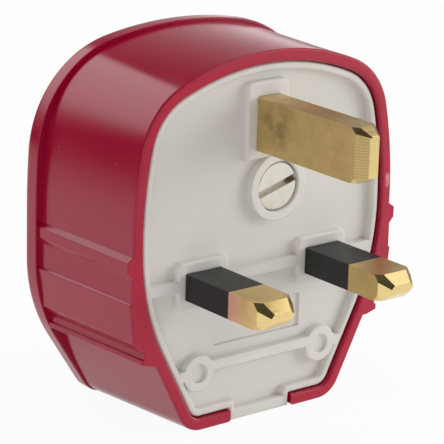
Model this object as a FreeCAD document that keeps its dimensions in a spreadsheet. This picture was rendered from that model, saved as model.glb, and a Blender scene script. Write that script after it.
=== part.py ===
"""A rewirable three pin plug: cover, base, pins, fuse, terminals and cord grip.

The plug stands on its cord entry end. X runs across the face, the pins point to -Y and the
earth pin is the highest. Everything is first drawn from the face of the base (y = 0) and the
line through the two lower pins (z = 0), and each piece is then placed so that the origin is
under the middle of the whole plug.
"""

import FreeCAD, Part
import math
import os
import re

import Sketcher

Vector = FreeCAD.Vector

# Driving sizes in millimetres and degrees.
SIZES = {
    # Rim of the cover, seen from the pins
    "rim_half_width": 24.0,
    "rim_top": 32.8,
    "rim_top_radius": 41.0,
    "rim_shoulder_radius": 10.8,
    "rim_side_radius": 64.0,
    "rim_lower_radius": 38.0,
    "rim_taper_angle": 27.0,
    "rim_corner_radius": 4.2,
    "rim_proud": 0.5,
    "rim_edge_bevel": 0.25,
    "foot_drop": 22.3,
    "foot_end_bevel": 0.6,
    # Heights between which the sides are straight
    "side_bow_level": 8.0,
    "side_taper_level": 7.0,
    # The cover's wall where it meets the flange
    "wall_half_width": 24.8,
    "wall_top": 32.7,
    "wall_top_radius": 52.0,
    "wall_shoulder_radius": 14.0,
    "wall_lower_radius": 49.0,
    "wall_taper_angle": 30.5,
    "cover_wall": 1.85,
    "seat_ledge": 0.75,
    # Flange round the back of the cover
    "flange_front": 20.8,
    "flange_thickness": 3.2,
    "flange_half_width": 25.85,
    "flange_top": 33.25,
    "flange_top_radius": 60.0,
    "flange_shoulder_radius": 17.0,
    "flange_side_radius": 130.0,
    "flange_taper_level": 0.5,
    "flange_lower_radius": 23.6,
    "flange_taper_angle": 32.6,
    "flange_edge_radius": 1.3,
    # Grips on both sides: heights, reach at the flange and how much less it is at the rim
    "grip_front": 0.4,
    "grip_root": 15.5,
    "ledge_level": 6.3,
    "ridge_top_level": 5.6,
    "ridge_low_level": 4.1,
    "band_top_level": 3.2,
    "panel_top_level": -0.6,
    "panel_low_level": -6.6,
    "groove_top_level": -8.4,
    "fin_top_level": -9.3,
    "fin_low_level": -10.1,
    "grip_end_level": -12.4,
    "ledge_inset": 0.1,
    "ridge_reach": 25.4,
    "band_reach": 25.05,
    "panel_reach": 25.45,
    "panel_low_reach": 24.5,
    "groove_reach": 23.1,
    "fin_reach": 23.4,
    "fin_root_reach": 19.4,
    "ridge_fall": 1.15,
    "band_fall": 0.9,
    "panel_fall": 1.1,
    "panel_low_fall": 0.75,
    "groove_fall": 1.3,
    "fin_fall": 1.5,
    "grip_end_rise": 1.8,
    # Cord entry through the lower wall
    "entry_half_width": 5.8,
    "entry_depth": 14.0,
    # Post of the cover and its threaded insert
    "post_radius": 4.2,
    "insert_radius": 2.5,
    "insert_length": 8.0,
    # Base
    "base_gap": 0.15,
    "base_depth": 6.0,
    "base_skirt": 1.5,
    "base_recess": 1.2,
    "base_floor": 2.0,
    "lip_width": 1.1,
    "thin_lip_half_width": 4.7,
    "thin_lip_width": 1.7,
    "tab_depth": 4.5,
    # Raised ribs and bosses on the face
    "rib_level": 0.2,
    "rib_height": 1.6,
    "boss_half_width": 4.6,
    "boss_half_height": 3.6,
    "earth_boss_half_width": 3.8,
    "earth_boss_half_height": 5.7,
    "earth_boss_rise": 0.4,
    "boss_corner_radius": 1.0,
    "panel_half_width": 8.0,
    "panel_half_height": 2.55,
    "panel_level": -7.85,
    "panel_sink": 0.3,
    "link_rib_level": -12.9,
    "ring_radius": 2.75,
    "ring_sink_radius": 1.45,
    "ring_sink": 0.5,
    "side_rib_reach": 15.2,
    "screw_ring_radius": 5.1,
    "face_edge_bevel": 0.25,
    # Pins
    "line_pin_offset": 11.115,
    "line_pin_width": 6.35,
    "line_pin_height": 3.97,
    "line_pin_length": 17.7,
    "line_tip_length": 1.75,
    "line_tip_width": 4.05,
    "line_tip_height": 1.33,
    "line_tip_cut": 0.55,
    "sleeve_length": 9.6,
    "sleeve_wall": 0.8,
    "earth_pin_level": 22.23,
    "earth_pin_width": 3.97,
    "earth_pin_height": 7.92,
    "earth_pin_length": 22.73,
    "earth_tip_length": 1.9,
    "earth_tip_width": 1.4,
    "earth_tip_height": 5.9,
    "earth_tip_cut": 0.15,
    "tip_cut_length": 0.9,
    # Terminals
    "terminal_half_width": 4.5,
    "terminal_depth": 8.8,
    "earth_terminal_half_height": 4.7,
    "wire_bore_radius": 1.6,
    "wire_bore_depth": 7.0,
    "terminal_screw_radius": 1.5,
    "terminal_screw_length": 4.0,
    "terminal_head_radius": 2.6,
    "terminal_head": 1.7,
    "screw_clearance": 0.05,
    "screw_end_room": 0.4,
    "slot_width": 0.8,
    "slot_depth": 0.9,
    "head_edge_bevel": 0.25,
    "live_head_depth": 3.0,
    "live_terminal_half_width": 2.7,
    "live_terminal_height": 3.6,
    "live_terminal_depth": 7.8,
    "live_terminal_gap": 0.3,
    "live_wire_bore_radius": 1.1,
    "live_screw_radius": 1.1,
    "live_head_radius": 1.75,
    # Fuse and its clips
    "fuse_radius": 3.175,
    "fuse_length": 25.4,
    "fuse_foot_level": -3.5,
    "cap_length": 6.0,
    "cap_wall": 0.25,
    "tube_wall": 0.9,
    "element_radius": 0.15,
    "clip_width": 5.0,
    "clip_plate": 0.8,
    "clip_half_width": 4.0,
    "clip_arm": 0.7,
    "clip_clearance": 0.02,
    "clip_mouth_half_width": 2.1,
    "pin_stub_radius": 1.2,
    # Cord grip
    "grip_bar_half_length": 14.0,
    "grip_bar_width": 5.2,
    "grip_bar_thickness": 2.4,
    "grip_bar_end_radius": 2.4,
    "grip_bar_hump": 1.0,
    "grip_hump_half_width": 5.0,
    "grip_hump_slope": 1.5,
    "grip_post_radius": 2.8,
    "grip_post_height": 4.8,
    "grip_screw_level": -13.65,
    "grip_screw_offset": 11.45,
    "grip_screw_radius": 1.4,
    "grip_screw_length": 5.5,
    "grip_head_radius": 2.5,
    "grip_head": 1.8,
    # Cover screw
    "cover_screw_offset": 2.33,
    "cover_screw_level": 12.27,
    "cover_screw_sink": 0.3,
    "cover_screw_radius": 1.55,
    "cover_screw_length": 12.0,
    "cover_head_radius": 3.65,
    "cover_head": 2.1,
    "cover_head_clearance": 0.15,
    "cover_slot_width": 1.05,
    "cover_slot_depth": 1.0,
    "cover_slot_turn": 16.0,
    "screw_boss_depth": 3.3,
    "retainer_thickness": 0.8,
    "retainer_radius": 3.4,
}

doc = FreeCAD.newDocument("three_pin_plug")
sheet = doc.addObject("Spreadsheet::Sheet", "sizes")
for row, (alias, number) in enumerate(SIZES.items(), start=1):
    sheet.set(f"A{row}", alias)
    sheet.set(f"B{row}", str(number))
    sheet.setAlias(f"B{row}", alias)
doc.recompute()

# Where the drawn pieces go, and depths behind the face that several pieces share.
PLACE = {
    "y": "(earth_pin_length - flange_front - flange_thickness) / 2",
    "z": "foot_drop",
}
FLOOR_BACK = "(base_recess + base_floor)"
TERMINAL_BACK = f"({FLOOR_BACK} + terminal_depth)"
LIVE_TERMINAL_BACK = f"({FLOOR_BACK} + live_terminal_depth)"
CLIP_SEAT = f"({FLOOR_BACK} + live_head_depth)"
CLIP_FACE = f"({CLIP_SEAT} + clip_plate)"
FUSE_DEPTH = f"({CLIP_FACE} + fuse_radius + clip_clearance)"
BOSS_BACK = f"({FLOOR_BACK} + screw_boss_depth)"
POST_FRONT = f"({BOSS_BACK} + retainer_thickness)"
GRIP_SEAT = f"({FLOOR_BACK} + grip_post_height)"
HEAD_SEAT = "(cover_screw_sink + cover_head)"

# Places seen from the pins.
FUSE_TOP = "(fuse_foot_level + fuse_length)"
LOWER_CLIP = "(fuse_foot_level + cap_length / 2)"
UPPER_CLIP = f"({FUSE_TOP} - cap_length / 2)"
LIVE_TERMINAL_FOOT = f"({FUSE_TOP} + live_terminal_gap)"
LIVE_TERMINAL_LEVEL = f"({LIVE_TERMINAL_FOOT} + live_terminal_height / 2)"
LIVE = "-line_pin_offset"
NEUTRAL = "line_pin_offset"
BASE_INSET = "cover_wall + base_gap"

RIM = {
    "half": "rim_half_width",
    "top": "rim_top",
    "crown": "rim_top_radius",
    "shoulder": "rim_shoulder_radius",
    "side": "rim_side_radius",
    "lower": "rim_lower_radius",
    "corner": "rim_corner_radius",
    "angle": "rim_taper_angle",
    "bow": "side_bow_level",
    "level": "side_taper_level",
}
WALL = dict(
    RIM,
    half="wall_half_width",
    top="wall_top",
    crown="wall_top_radius",
    shoulder="wall_shoulder_radius",
    lower="wall_lower_radius",
    angle="wall_taper_angle",
)
FLANGE = dict(
    RIM,
    half="flange_half_width",
    top="flange_top",
    crown="flange_top_radius",
    shoulder="flange_shoulder_radius",
    side="flange_side_radius",
    lower="flange_lower_radius",
    angle="flange_taper_angle",
    level="flange_taper_level",
)


def value(expression):
    """The number that an expression on the sheet's sizes gives."""
    return float(sheet.evalExpression(expression))


def bound(expression):
    """The same expression as another object writes it, with each size named on the sheet."""
    return re.sub(r"\b[a-z]+(?:_[a-z]+)+\b", r"sizes.\g<0>", expression)


def place(piece, label):
    """Names a piece and sets it in the plug's frame."""
    piece.Label = label
    for axis, expression in PLACE.items():
        piece.setExpression(f"Placement.Base.{axis}", bound(expression))
    return piece


def new_body(label):
    """An empty body in the plug's frame."""
    return place(doc.addObject("PartDesign::Body", label), label)


def plane(body, role):
    """One of the body's own origin planes."""
    return next(f for f in body.Origin.OriginFeatures if f.Role == role)


def sketch_on(body, role, name, offset):
    """A sketch on one of the body's planes, moved along the plane's normal."""
    sketch = body.newObject("Sketcher::SketchObject", name)
    sketch.AttachmentSupport = (plane(body, role), [""])
    sketch.MapMode = "FlatFace"
    sketch.setExpression("AttachmentOffset.Base.z", bound(offset))
    return sketch


def face_sketch(body, name, depth):
    """A sketch seen from the pins at a depth behind the face: its y is the plug's height."""
    return sketch_on(body, "XZ_Plane", name, f"-({depth})")


def level_sketch(body, name, level):
    """A sketch seen from above at one height: its y is the depth behind the face."""
    return sketch_on(body, "XY_Plane", name, level)


def drive(sketch, kind, *where, by):
    """A dimension of the sketch, set from the sheet."""
    amount = value(by)
    if kind == "Angle":
        amount = math.radians(amount)
    index = sketch.addConstraint(Sketcher.Constraint(kind, *where, amount))
    sketch.setExpression(f"Constraints[{index}]", bound(by))


def pin_down(sketch, edge, point, x, y):
    """Both coordinates of one point, from the sketch's origin."""
    drive(sketch, "DistanceX", -1, 1, edge, point, by=x)
    drive(sketch, "DistanceY", -1, 1, edge, point, by=y)


def polygon(sketch, corners):
    """A closed run of straight edges through corners given as pairs of expressions."""
    first = sketch.GeometryCount
    points = [Vector(value(x), value(y), 0) for x, y in corners]
    for start, stop in zip(points, points[1:] + points[:1]):
        sketch.addGeometry(Part.LineSegment(start, stop), False)
    for i, (x, y) in enumerate(corners):
        before = first + (i - 1) % len(corners)
        sketch.addConstraint(Sketcher.Constraint("Coincident", before, 2, first + i, 1))
        pin_down(sketch, first + i, 1, x, y)


def rectangle(sketch, x, y, half_width, half_height):
    """A rectangle about a centre."""
    left, right = f"{x} - ({half_width})", f"{x} + ({half_width})"
    low, high = f"{y} - ({half_height})", f"{y} + ({half_height})"
    polygon(sketch, [(left, low), (right, low), (right, high), (left, high)])


def circle(sketch, x, y, radius):
    """A circle about a centre."""
    centre = Vector(value(x), value(y), 0)
    ring = sketch.addGeometry(Part.Circle(centre, Vector(0, 0, 1), value(radius)), False)
    drive(sketch, "Radius", ring, by=radius)
    pin_down(sketch, ring, 3, x, y)


def plug_outline(sketch, shape, inset="0"):
    """The plug's outline: arcs and lines that run into each other all the way round.

    It goes round the right corner, up the taper, along the lower side, up the straight
    stretch, along the upper side, round the shoulder, over the crown, and down again.
    An inset moves every stretch inwards by the same amount.
    """
    size = {part: value(expression) for part, expression in shape.items()}
    gap = value(inset)
    half, top, low = size["half"] - gap, size["top"] - gap, gap - value("foot_drop")
    taper = math.radians(size["angle"])
    radius = {part: size[part] - gap for part in ("crown", "shoulder", "side", "lower", "corner")}
    crown = Vector(0, top - radius["crown"], 0)
    side = Vector(half - radius["side"], size["bow"], 0)
    lower = Vector(half - radius["lower"], size["level"], 0)

    # The shoulder's centre is where it touches both the crown and the upper side from inside.
    to_crown = radius["crown"] - radius["shoulder"]
    to_side = radius["side"] - radius["shoulder"]
    between = side - crown
    along = (to_crown**2 - to_side**2 + between.Length**2) / (2 * between.Length)
    across = math.sqrt(to_crown**2 - along**2)
    unit = between / between.Length
    shoulder = crown + unit * along + Vector(unit.y, -unit.x, 0) * across
    if shoulder.x < 0:
        shoulder = crown + unit * along - Vector(unit.y, -unit.x, 0) * across

    # The corner touches the taper and the foot.
    taper_top = lower + Vector(math.cos(taper), -math.sin(taper), 0) * radius["lower"]
    corner_level = low + radius["corner"]
    shift = math.sin(taper) * (corner_level - taper_top.y) - radius["corner"]
    corner = Vector(taper_top.x + shift / math.cos(taper), corner_level, 0)

    crown_turn = math.atan2(shoulder.y - crown.y, shoulder.x - crown.x)
    side_turn = math.atan2(shoulder.y - side.y, shoulder.x - side.x)
    right = {
        "corner": (corner, -math.pi / 2, -taper),
        "lower": (lower, -taper, 0.0),
        "side": (side, 0.0, side_turn),
        "shoulder": (shoulder, side_turn, crown_turn),
    }

    def arc(part, centre, start, stop):
        whole = Part.Circle(centre, Vector(0, 0, 1), radius[part])
        return sketch.addGeometry(Part.ArcOfCircle(whole, start, stop), False)

    def line(start, stop):
        ends = sketch.getPoint(start, 2), sketch.getPoint(stop, 1)
        return sketch.addGeometry(Part.LineSegment(*ends), False)

    arcs = {"right " + part: arc(part, *right[part]) for part in right}
    arcs["crown"] = arc("crown", crown, crown_turn, math.pi - crown_turn)
    for part in reversed(right):
        centre, start, stop = right[part]
        opposite = Vector(-centre.x, centre.y, 0)
        arcs["left " + part] = arc(part, opposite, math.pi - stop, math.pi - start)
    foot = line(arcs["left corner"], arcs["right corner"])
    right_taper = line(arcs["right corner"], arcs["right lower"])
    right_straight = line(arcs["right lower"], arcs["right side"])
    left_straight = line(arcs["left side"], arcs["left lower"])
    left_taper = line(arcs["left lower"], arcs["left corner"])
    run = [
        foot,
        arcs["right corner"],
        right_taper,
        arcs["right lower"],
        right_straight,
        arcs["right side"],
        arcs["right shoulder"],
        arcs["crown"],
        arcs["left shoulder"],
        arcs["left side"],
        left_straight,
        arcs["left lower"],
        left_taper,
        arcs["left corner"],
    ]
    for here, after in zip(run, run[1:] + run[:1]):
        sketch.addConstraint(Sketcher.Constraint("Tangent", here, 2, after, 1))
    for name, edge in arcs.items():
        drive(sketch, "Radius", edge, by=f"{shape[name.split()[-1]]} - ({inset})")
    for straight, sign, low_end in ((right_straight, "", 1), (left_straight, "-", 2)):
        sketch.addConstraint(Sketcher.Constraint("Vertical", straight))
        drive(sketch, "DistanceX", -1, 1, straight, 1, by=f"{sign}({shape['half']} - ({inset}))")
        drive(sketch, "DistanceY", -1, 1, straight, low_end, by=shape["level"])
        drive(sketch, "DistanceY", -1, 1, straight, 3 - low_end, by=shape["bow"])
    pin_down(sketch, arcs["crown"], 3, "0", f"{shape['top']} - {shape['crown']}")
    sketch.addConstraint(Sketcher.Constraint("Horizontal", foot))
    drive(sketch, "DistanceY", -1, 1, foot, 1, by=f"{inset} - foot_drop")
    drive(sketch, "Angle", right_taper, by=f"90 - {shape['angle']}")
    drive(sketch, "Angle", left_taper, by=f"{shape['angle']} - 90")
    return sketch


def outline_sketch(body, name, depth, shape, inset="0"):
    """The plug's outline at a depth behind the face."""
    return plug_outline(face_sketch(body, name, depth), shape, inset)


def loft(body, kind, name, start, end):
    """Straight walls between two sketches that have as many edges as each other."""
    feature = body.newObject(f"PartDesign::{kind}", name)
    feature.Profile = start
    feature.Sections = [end]
    feature.Ruled = True
    doc.recompute()
    return feature


def pad(body, sketch, length, backward=False):
    """Material along the sketch's normal, or against it."""
    feature = body.newObject("PartDesign::Pad", sketch.Name + "_pad")
    feature.Profile = sketch
    feature.Reversed = backward
    feature.setExpression("Length", bound(length))
    doc.recompute()
    return feature


def pocket(body, sketch, depth, forward=False):
    """A cut against the sketch's normal, or along it."""
    before = body.Shape.Volume
    feature = body.newObject("PartDesign::Pocket", sketch.Name + "_pocket")
    feature.Profile = sketch
    feature.Reversed = forward
    feature.setExpression("Length", bound(depth))
    doc.recompute()
    if body.Shape.Volume > before - 1e-6:
        raise RuntimeError(f"{sketch.Name} cuts nothing")
    return feature


def both_sides(body, feature):
    """The same feature again on the other side of the plug."""
    mirror = body.newObject("PartDesign::Mirrored", feature.Name + "_mirror")
    mirror.Originals = [feature]
    mirror.MirrorPlane = (plane(body, "YZ_Plane"), [""])
    body.Tip = mirror
    doc.recompute()
    return mirror


def finish_edges(body, kind, size, wanted):
    """Rounds or bevels the edges that a test picks."""
    solid = body.Tip
    names = [f"Edge{i}" for i, edge in enumerate(solid.Shape.Edges, start=1) if wanted(edge)]
    if not names:
        raise RuntimeError(f"{body.Label} has no edge for {size}")
    feature = body.newObject(f"PartDesign::{kind}", f"{body.Label}_{size}")
    feature.Base = (solid, names)
    feature.setExpression("Radius" if kind == "Fillet" else "Size", bound(size))
    doc.recompute()
    return feature


def lies_at(depth):
    """A test for edges that lie at one depth behind the face."""
    level = value(depth)
    return lambda edge: max(abs(vertex.Y - level) for vertex in edge.Vertexes) < 1e-4


def runs_back_at(x, z, depth_from, depth_to):
    """A test for straight edges along Y through (x, z) on either side, between two depths."""
    ends = value(depth_from) - 1e-4, value(depth_to) + 1e-4
    spot = value(x), value(z)

    def test(edge):
        box = edge.BoundBox
        if box.XLength > 1e-4 or box.ZLength > 1e-4:
            return False
        there = abs(abs(box.XMin) - spot[0]) < 1e-3 and abs(box.ZMin - spot[1]) < 1e-3
        return there and box.YMin > ends[0] and box.YMax < ends[1]

    return test


def grip_section(sketch, at_rim):
    """The right grip cut square to Y: fin, groove, panel, band and ridge, from below."""

    def reach(part):
        return f"{part}_reach - {part}_fall" if at_rim else f"{part}_reach"

    rise = "grip_end_rise" if at_rim else "0"
    side = "rim_half_width" if at_rim else "wall_half_width"
    polygon(
        sketch,
        [
            ("grip_root", f"grip_end_level + {rise}"),
            (f"fin_root_reach + {rise} / 2", f"grip_end_level + {rise}"),
            (reach("fin"), "fin_low_level"),
            (reach("fin"), "fin_top_level"),
            (reach("groove"), "fin_top_level"),
            (reach("groove"), "groove_top_level"),
            (reach("panel_low"), "panel_low_level"),
            (reach("panel"), "panel_top_level"),
            (reach("band"), "panel_top_level"),
            (reach("band"), "band_top_level"),
            (reach("ridge"), "ridge_low_level"),
            (reach("ridge"), "ridge_top_level"),
            (f"{side} - ledge_inset", "ledge_level"),
            ("grip_root", "ledge_level"),
        ],
    )
    return sketch


def cord_entry(sketch):
    """The entry seen from below: open at the rim, with a round end."""
    radius = "entry_half_width"
    half, middle = value(radius), value(f"entry_depth - {radius}")
    front = -value("rim_proud")
    centre = Vector(0, middle, 0)
    whole = Part.Circle(centre, Vector(0, 0, 1), half)
    corners = [Vector(-half, middle, 0), Vector(-half, front, 0)]
    corners += [Vector(half, front, 0), Vector(half, middle, 0)]
    for start, stop in zip(corners, corners[1:]):
        sketch.addGeometry(Part.LineSegment(start, stop), False)
    sketch.addGeometry(Part.ArcOfCircle(whole, 0, math.pi), False)
    sketch.addConstraint(Sketcher.Constraint("Coincident", 0, 2, 1, 1))
    sketch.addConstraint(Sketcher.Constraint("Coincident", 1, 2, 2, 1))
    sketch.addConstraint(Sketcher.Constraint("Tangent", 2, 2, 3, 1))
    sketch.addConstraint(Sketcher.Constraint("Tangent", 3, 2, 0, 1))
    sketch.addConstraint(Sketcher.Constraint("Horizontal", 1))
    sketch.addConstraint(Sketcher.Constraint("Vertical", 2))
    drive(sketch, "Radius", 3, by=radius)
    pin_down(sketch, 3, 3, "0", f"entry_depth - {radius}")
    drive(sketch, "DistanceY", -1, 1, 1, 1, by="-rim_proud")


def cover():
    """The moulded cover: a drafted wall with a flange round its back and grips on its sides."""
    body = new_body("cover")
    rim = outline_sketch(body, "cover_rim", "-rim_proud", RIM)
    wall_end = outline_sketch(body, "cover_wall_end", "flange_front", WALL)
    loft(body, "AdditiveLoft", "cover_wall_loft", rim, wall_end)
    flange = outline_sketch(body, "cover_flange", "flange_front", FLANGE)
    pad(body, flange, "flange_thickness", backward=True)
    front = grip_section(face_sketch(body, "cover_grip_front", "grip_front"), True)
    back = grip_section(face_sketch(body, "cover_grip_back", "flange_front"), False)
    both_sides(body, loft(body, "AdditiveLoft", "cover_grip", front, back))

    # The base's skirt drops into a straight rebate and stops on its ledge.
    rebate = outline_sketch(body, "cover_rebate", "-rim_proud", RIM, "cover_wall")
    pocket(body, rebate, "rim_proud + base_depth")
    cavity = outline_sketch(
        body, "cover_cavity", "base_depth", RIM, "cover_wall + seat_ledge"
    )
    pocket(body, cavity, "flange_front - base_depth")

    post = face_sketch(body, "cover_post", "flange_front")
    circle(post, "cover_screw_offset", "cover_screw_level", "post_radius")
    pad(body, post, f"flange_front - {POST_FRONT}")
    bore = face_sketch(body, "cover_post_bore", POST_FRONT)
    circle(bore, "cover_screw_offset", "cover_screw_level", "insert_radius + screw_clearance")
    pocket(body, bore, "insert_length")

    entry = level_sketch(body, "cover_entry_cut", "-foot_drop")
    cord_entry(entry)
    pocket(body, entry, "cover_wall + seat_ledge + entry_half_width / 2", forward=True)

    finish_edges(
        body,
        "Chamfer",
        "foot_end_bevel",
        runs_back_at("entry_half_width", "-foot_drop", "-rim_proud", "entry_depth"),
    )
    finish_edges(body, "Fillet", "flange_edge_radius", lies_at("flange_front + flange_thickness"))
    finish_edges(body, "Chamfer", "rim_edge_bevel", lies_at("-rim_proud"))


def base():
    """The moulded base: a recessed face with ribs and bosses, and posts behind its floor."""
    body = new_body("base")
    outer = outline_sketch(body, "base_outline", "0", RIM, BASE_INSET)
    pad(body, outer, "base_depth", backward=True)
    tab = face_sketch(body, "base_tab", "0")
    half = "entry_half_width - base_gap"
    root = "thin_lip_width + cover_wall - foot_drop"
    polygon(
        tab,
        [
            (f"-({half})", "-foot_drop"),
            (half, "-foot_drop"),
            (half, root),
            (f"-({half})", root),
        ],
    )
    pad(body, tab, "tab_depth", backward=True)
    hollow = outline_sketch(
        body, "base_hollow", "base_depth", RIM, f"{BASE_INSET} + base_skirt"
    )
    pocket(body, hollow, f"base_depth - {FLOOR_BACK}", forward=True)
    notch = face_sketch(body, "base_cord_notch", "base_depth")
    rectangle(notch, "0", "-foot_drop", half, "cover_wall * 2 + base_skirt")
    pocket(body, notch, "base_depth - tab_depth", forward=True)
    recess = outline_sketch(body, "base_recess_cut", "0", RIM, f"{BASE_INSET} + lip_width")
    pocket(body, recess, "base_recess")
    thin_lip = face_sketch(body, "base_thin_lip", "0")
    rectangle(thin_lip, "0", "-foot_drop + 2 * thin_lip_width", "thin_lip_half_width", "thin_lip_width")
    pocket(body, thin_lip, "base_recess")

    bosses = face_sketch(body, "base_bosses", "base_recess")
    for x in (LIVE, NEUTRAL):
        rectangle(bosses, x, "0", "boss_half_width", "boss_half_height")
    pad(body, bosses, "base_recess")
    earth_boss = face_sketch(body, "base_earth_boss", "base_recess")
    middle = "earth_pin_level + earth_boss_rise"
    rectangle(earth_boss, "0", middle, "earth_boss_half_width", "earth_boss_half_height")
    pad(body, earth_boss, "base_recess")
    corner_rows = [
        (f"line_pin_offset {sign} boss_half_width", f"{up}boss_half_height")
        for sign in "+-"
        for up in ("", "-")
    ]
    corner_rows.append(("earth_boss_half_width", f"{middle} + earth_boss_half_height"))
    tests = [runs_back_at(x, z, "0", "base_recess") for x, z in corner_rows]
    finish_edges(
        body, "Fillet", "boss_corner_radius", lambda edge: any(test(edge) for test in tests)
    )
    finish_edges(body, "Chamfer", "face_edge_bevel", lies_at("0"))
    rib = face_sketch(body, "base_rib", "base_recess")
    rib_half = f"rim_half_width - ({BASE_INSET}) - lip_width"
    rectangle(rib, "0", "rib_level", rib_half, "rib_height / 2")
    pad(body, rib, "base_recess")
    ring = face_sketch(body, "base_screw_ring", "base_recess")
    circle(ring, "cover_screw_offset", "cover_screw_level", "screw_ring_radius")
    pad(body, ring, "base_recess")
    link = face_sketch(body, "base_link_rib", "base_recess")
    rectangle(link, "0", "link_rib_level", "grip_screw_offset", "rib_height / 2")
    pad(body, link, "base_recess")
    for side, sign in (("left", "-"), ("right", "")):
        x = f"{sign}grip_screw_offset"
        eye = face_sketch(body, f"base_{side}_ring", "base_recess")
        circle(eye, x, "grip_screw_level", "ring_radius")
        pad(body, eye, "base_recess")
        side_rib = face_sketch(body, f"base_{side}_rib", "base_recess")
        middle_x = f"{sign}(grip_screw_offset + side_rib_reach) / 2"
        run = "(side_rib_reach - grip_screw_offset) / 2"
        rectangle(side_rib, middle_x, "grip_screw_level", run, "rib_height / 2")
        pad(body, side_rib, "base_recess")
        grip_post = face_sketch(body, f"base_{side}_post", FLOOR_BACK)
        circle(grip_post, x, "grip_screw_level", "grip_post_radius")
        pad(body, grip_post, "grip_post_height", backward=True)
        hole = face_sketch(body, f"base_{side}_hole", GRIP_SEAT)
        circle(hole, x, "grip_screw_level", "grip_screw_radius + screw_clearance")
        depth = "grip_screw_length - grip_bar_thickness + screw_end_room"
        pocket(body, hole, depth, forward=True)
    sinks = face_sketch(body, "base_ring_sinks", "0")
    for sign in ("-", ""):
        circle(sinks, f"{sign}grip_screw_offset", "grip_screw_level", "ring_sink_radius")
    pocket(body, sinks, "ring_sink")
    sunk_panel = face_sketch(body, "base_panel", "base_recess")
    rectangle(sunk_panel, "0", "panel_level", "panel_half_width", "panel_half_height")
    pocket(body, sunk_panel, "panel_sink")

    screw_boss = face_sketch(body, "base_screw_boss", FLOOR_BACK)
    circle(screw_boss, "cover_screw_offset", "cover_screw_level", "screw_ring_radius")
    pad(body, screw_boss, "screw_boss_depth", backward=True)
    head_hole = face_sketch(body, "base_head_hole", "0")
    head_radius = "cover_head_radius + cover_head_clearance"
    circle(head_hole, "cover_screw_offset", "cover_screw_level", head_radius)
    pocket(body, head_hole, HEAD_SEAT)
    shank_hole = face_sketch(body, "base_shank_hole", HEAD_SEAT)
    shank = "cover_screw_radius + screw_clearance"
    circle(shank_hole, "cover_screw_offset", "cover_screw_level", shank)
    pocket(body, shank_hole, f"{BOSS_BACK} - {HEAD_SEAT}")

    stand = face_sketch(body, "base_clip_stand", FLOOR_BACK)
    rectangle(stand, LIVE, UPPER_CLIP, "clip_half_width", "clip_width / 2")
    pad(body, stand, "live_head_depth", backward=True)
    slots = face_sketch(body, "base_line_slots", "0")
    for x in (LIVE, NEUTRAL):
        rectangle(slots, x, "0", "line_pin_width / 2", "line_pin_height / 2")
    pocket(body, slots, FLOOR_BACK)
    slot = face_sketch(body, "base_earth_slot", "0")
    rectangle(slot, "0", "earth_pin_level", "earth_pin_width / 2", "earth_pin_height / 2")
    pocket(body, slot, FLOOR_BACK)


def pin_tip(body, x, z, width, height, shoulder, tip_length, tip_width, tip_height, cut):
    """The bevelled end of a pin: its four sides slope in, and flat cuts take its corners off.

    Each cut starts on the pin's long edge, a little behind the slopes, and takes the given
    amount off the corner of the end.
    """
    start = face_sketch(body, f"{body.Label}_shoulder", f"-({shoulder})")
    rectangle(start, x, z, f"{width} / 2", f"{height} / 2")
    finish = f"-({shoulder} + {tip_length})"
    end = face_sketch(body, f"{body.Label}_end", finish)
    rectangle(end, x, z, f"{tip_width} / 2", f"{tip_height} / 2")
    loft(body, "AdditiveLoft", f"{body.Label}_tip", start, end)

    beyond = "tip_cut_length / 2"
    taken = f"({width} - {tip_width} + {height} - {tip_height}) / 2 + {cut}"
    rows = (("start", f"-({shoulder} - tip_cut_length)", "0"), ("finish", finish, taken))
    for spot, side, up in (("a", "-", "-"), ("b", "+", "-"), ("c", "+", "+"), ("d", "-", "+")):
        ends = []
        for name, depth, leg in rows:
            wedge = face_sketch(body, f"{body.Label}_cut_{spot}_{name}", depth)
            out_x = f"{x} {side} ({width} / 2 + {beyond})"
            out_z = f"{z} {up} ({height} / 2 + {beyond})"
            in_x = f"{x} {side} ({width} / 2 - ({leg}) - {beyond})"
            in_z = f"{z} {up} ({height} / 2 - ({leg}) - {beyond})"
            polygon(wedge, [(out_x, out_z), (in_x, out_z), (out_x, in_z)])
            ends.append(wedge)
        loft(body, "SubtractiveLoft", f"{body.Label}_cut_{spot}", *ends)


def wire_bore(body, x, foot, depth):
    """The hole for a wire, from the terminal's lower end, and the depth it lies at."""
    bore = level_sketch(body, f"{body.Label}_wire_bore", foot)
    circle(bore, x, depth, "wire_bore_radius")
    pocket(body, bore, "wire_bore_depth", forward=True)


def screw_bore(body, x, z, back, radius, length):
    """The hole for a terminal screw, from the back of the terminal."""
    bore = face_sketch(body, f"{body.Label}_screw_bore", back)
    circle(bore, x, z, f"{radius} + screw_clearance")
    pocket(body, bore, f"{length} + screw_end_room", forward=True)


def line_pin(label, x):
    """A lower pin as far as the base's floor: a thin neck in the sleeve, then the full section."""
    body = new_body(label)
    blade = face_sketch(body, f"{label}_blade", "-sleeve_length")
    rectangle(blade, x, "0", "line_pin_width / 2", "line_pin_height / 2")
    pad(body, blade, "line_pin_length - line_tip_length - sleeve_length")
    pin_tip(
        body,
        x,
        "0",
        "line_pin_width",
        "line_pin_height",
        "line_pin_length - line_tip_length",
        "line_tip_length",
        "line_tip_width",
        "line_tip_height",
        "line_tip_cut",
    )
    neck = face_sketch(body, f"{label}_neck", "-sleeve_length")
    rectangle(neck, x, "0", "line_pin_width / 2 - sleeve_wall", "line_pin_height / 2 - sleeve_wall")
    pad(body, neck, f"sleeve_length + {FLOOR_BACK}", backward=True)
    return body


def terminal_block(body, x, z, half_height, depth):
    """The block behind the floor that a pin ends in."""
    block = face_sketch(body, f"{body.Label}_block", FLOOR_BACK)
    rectangle(block, x, z, "terminal_half_width", half_height)
    pad(body, block, depth, backward=True)


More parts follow.
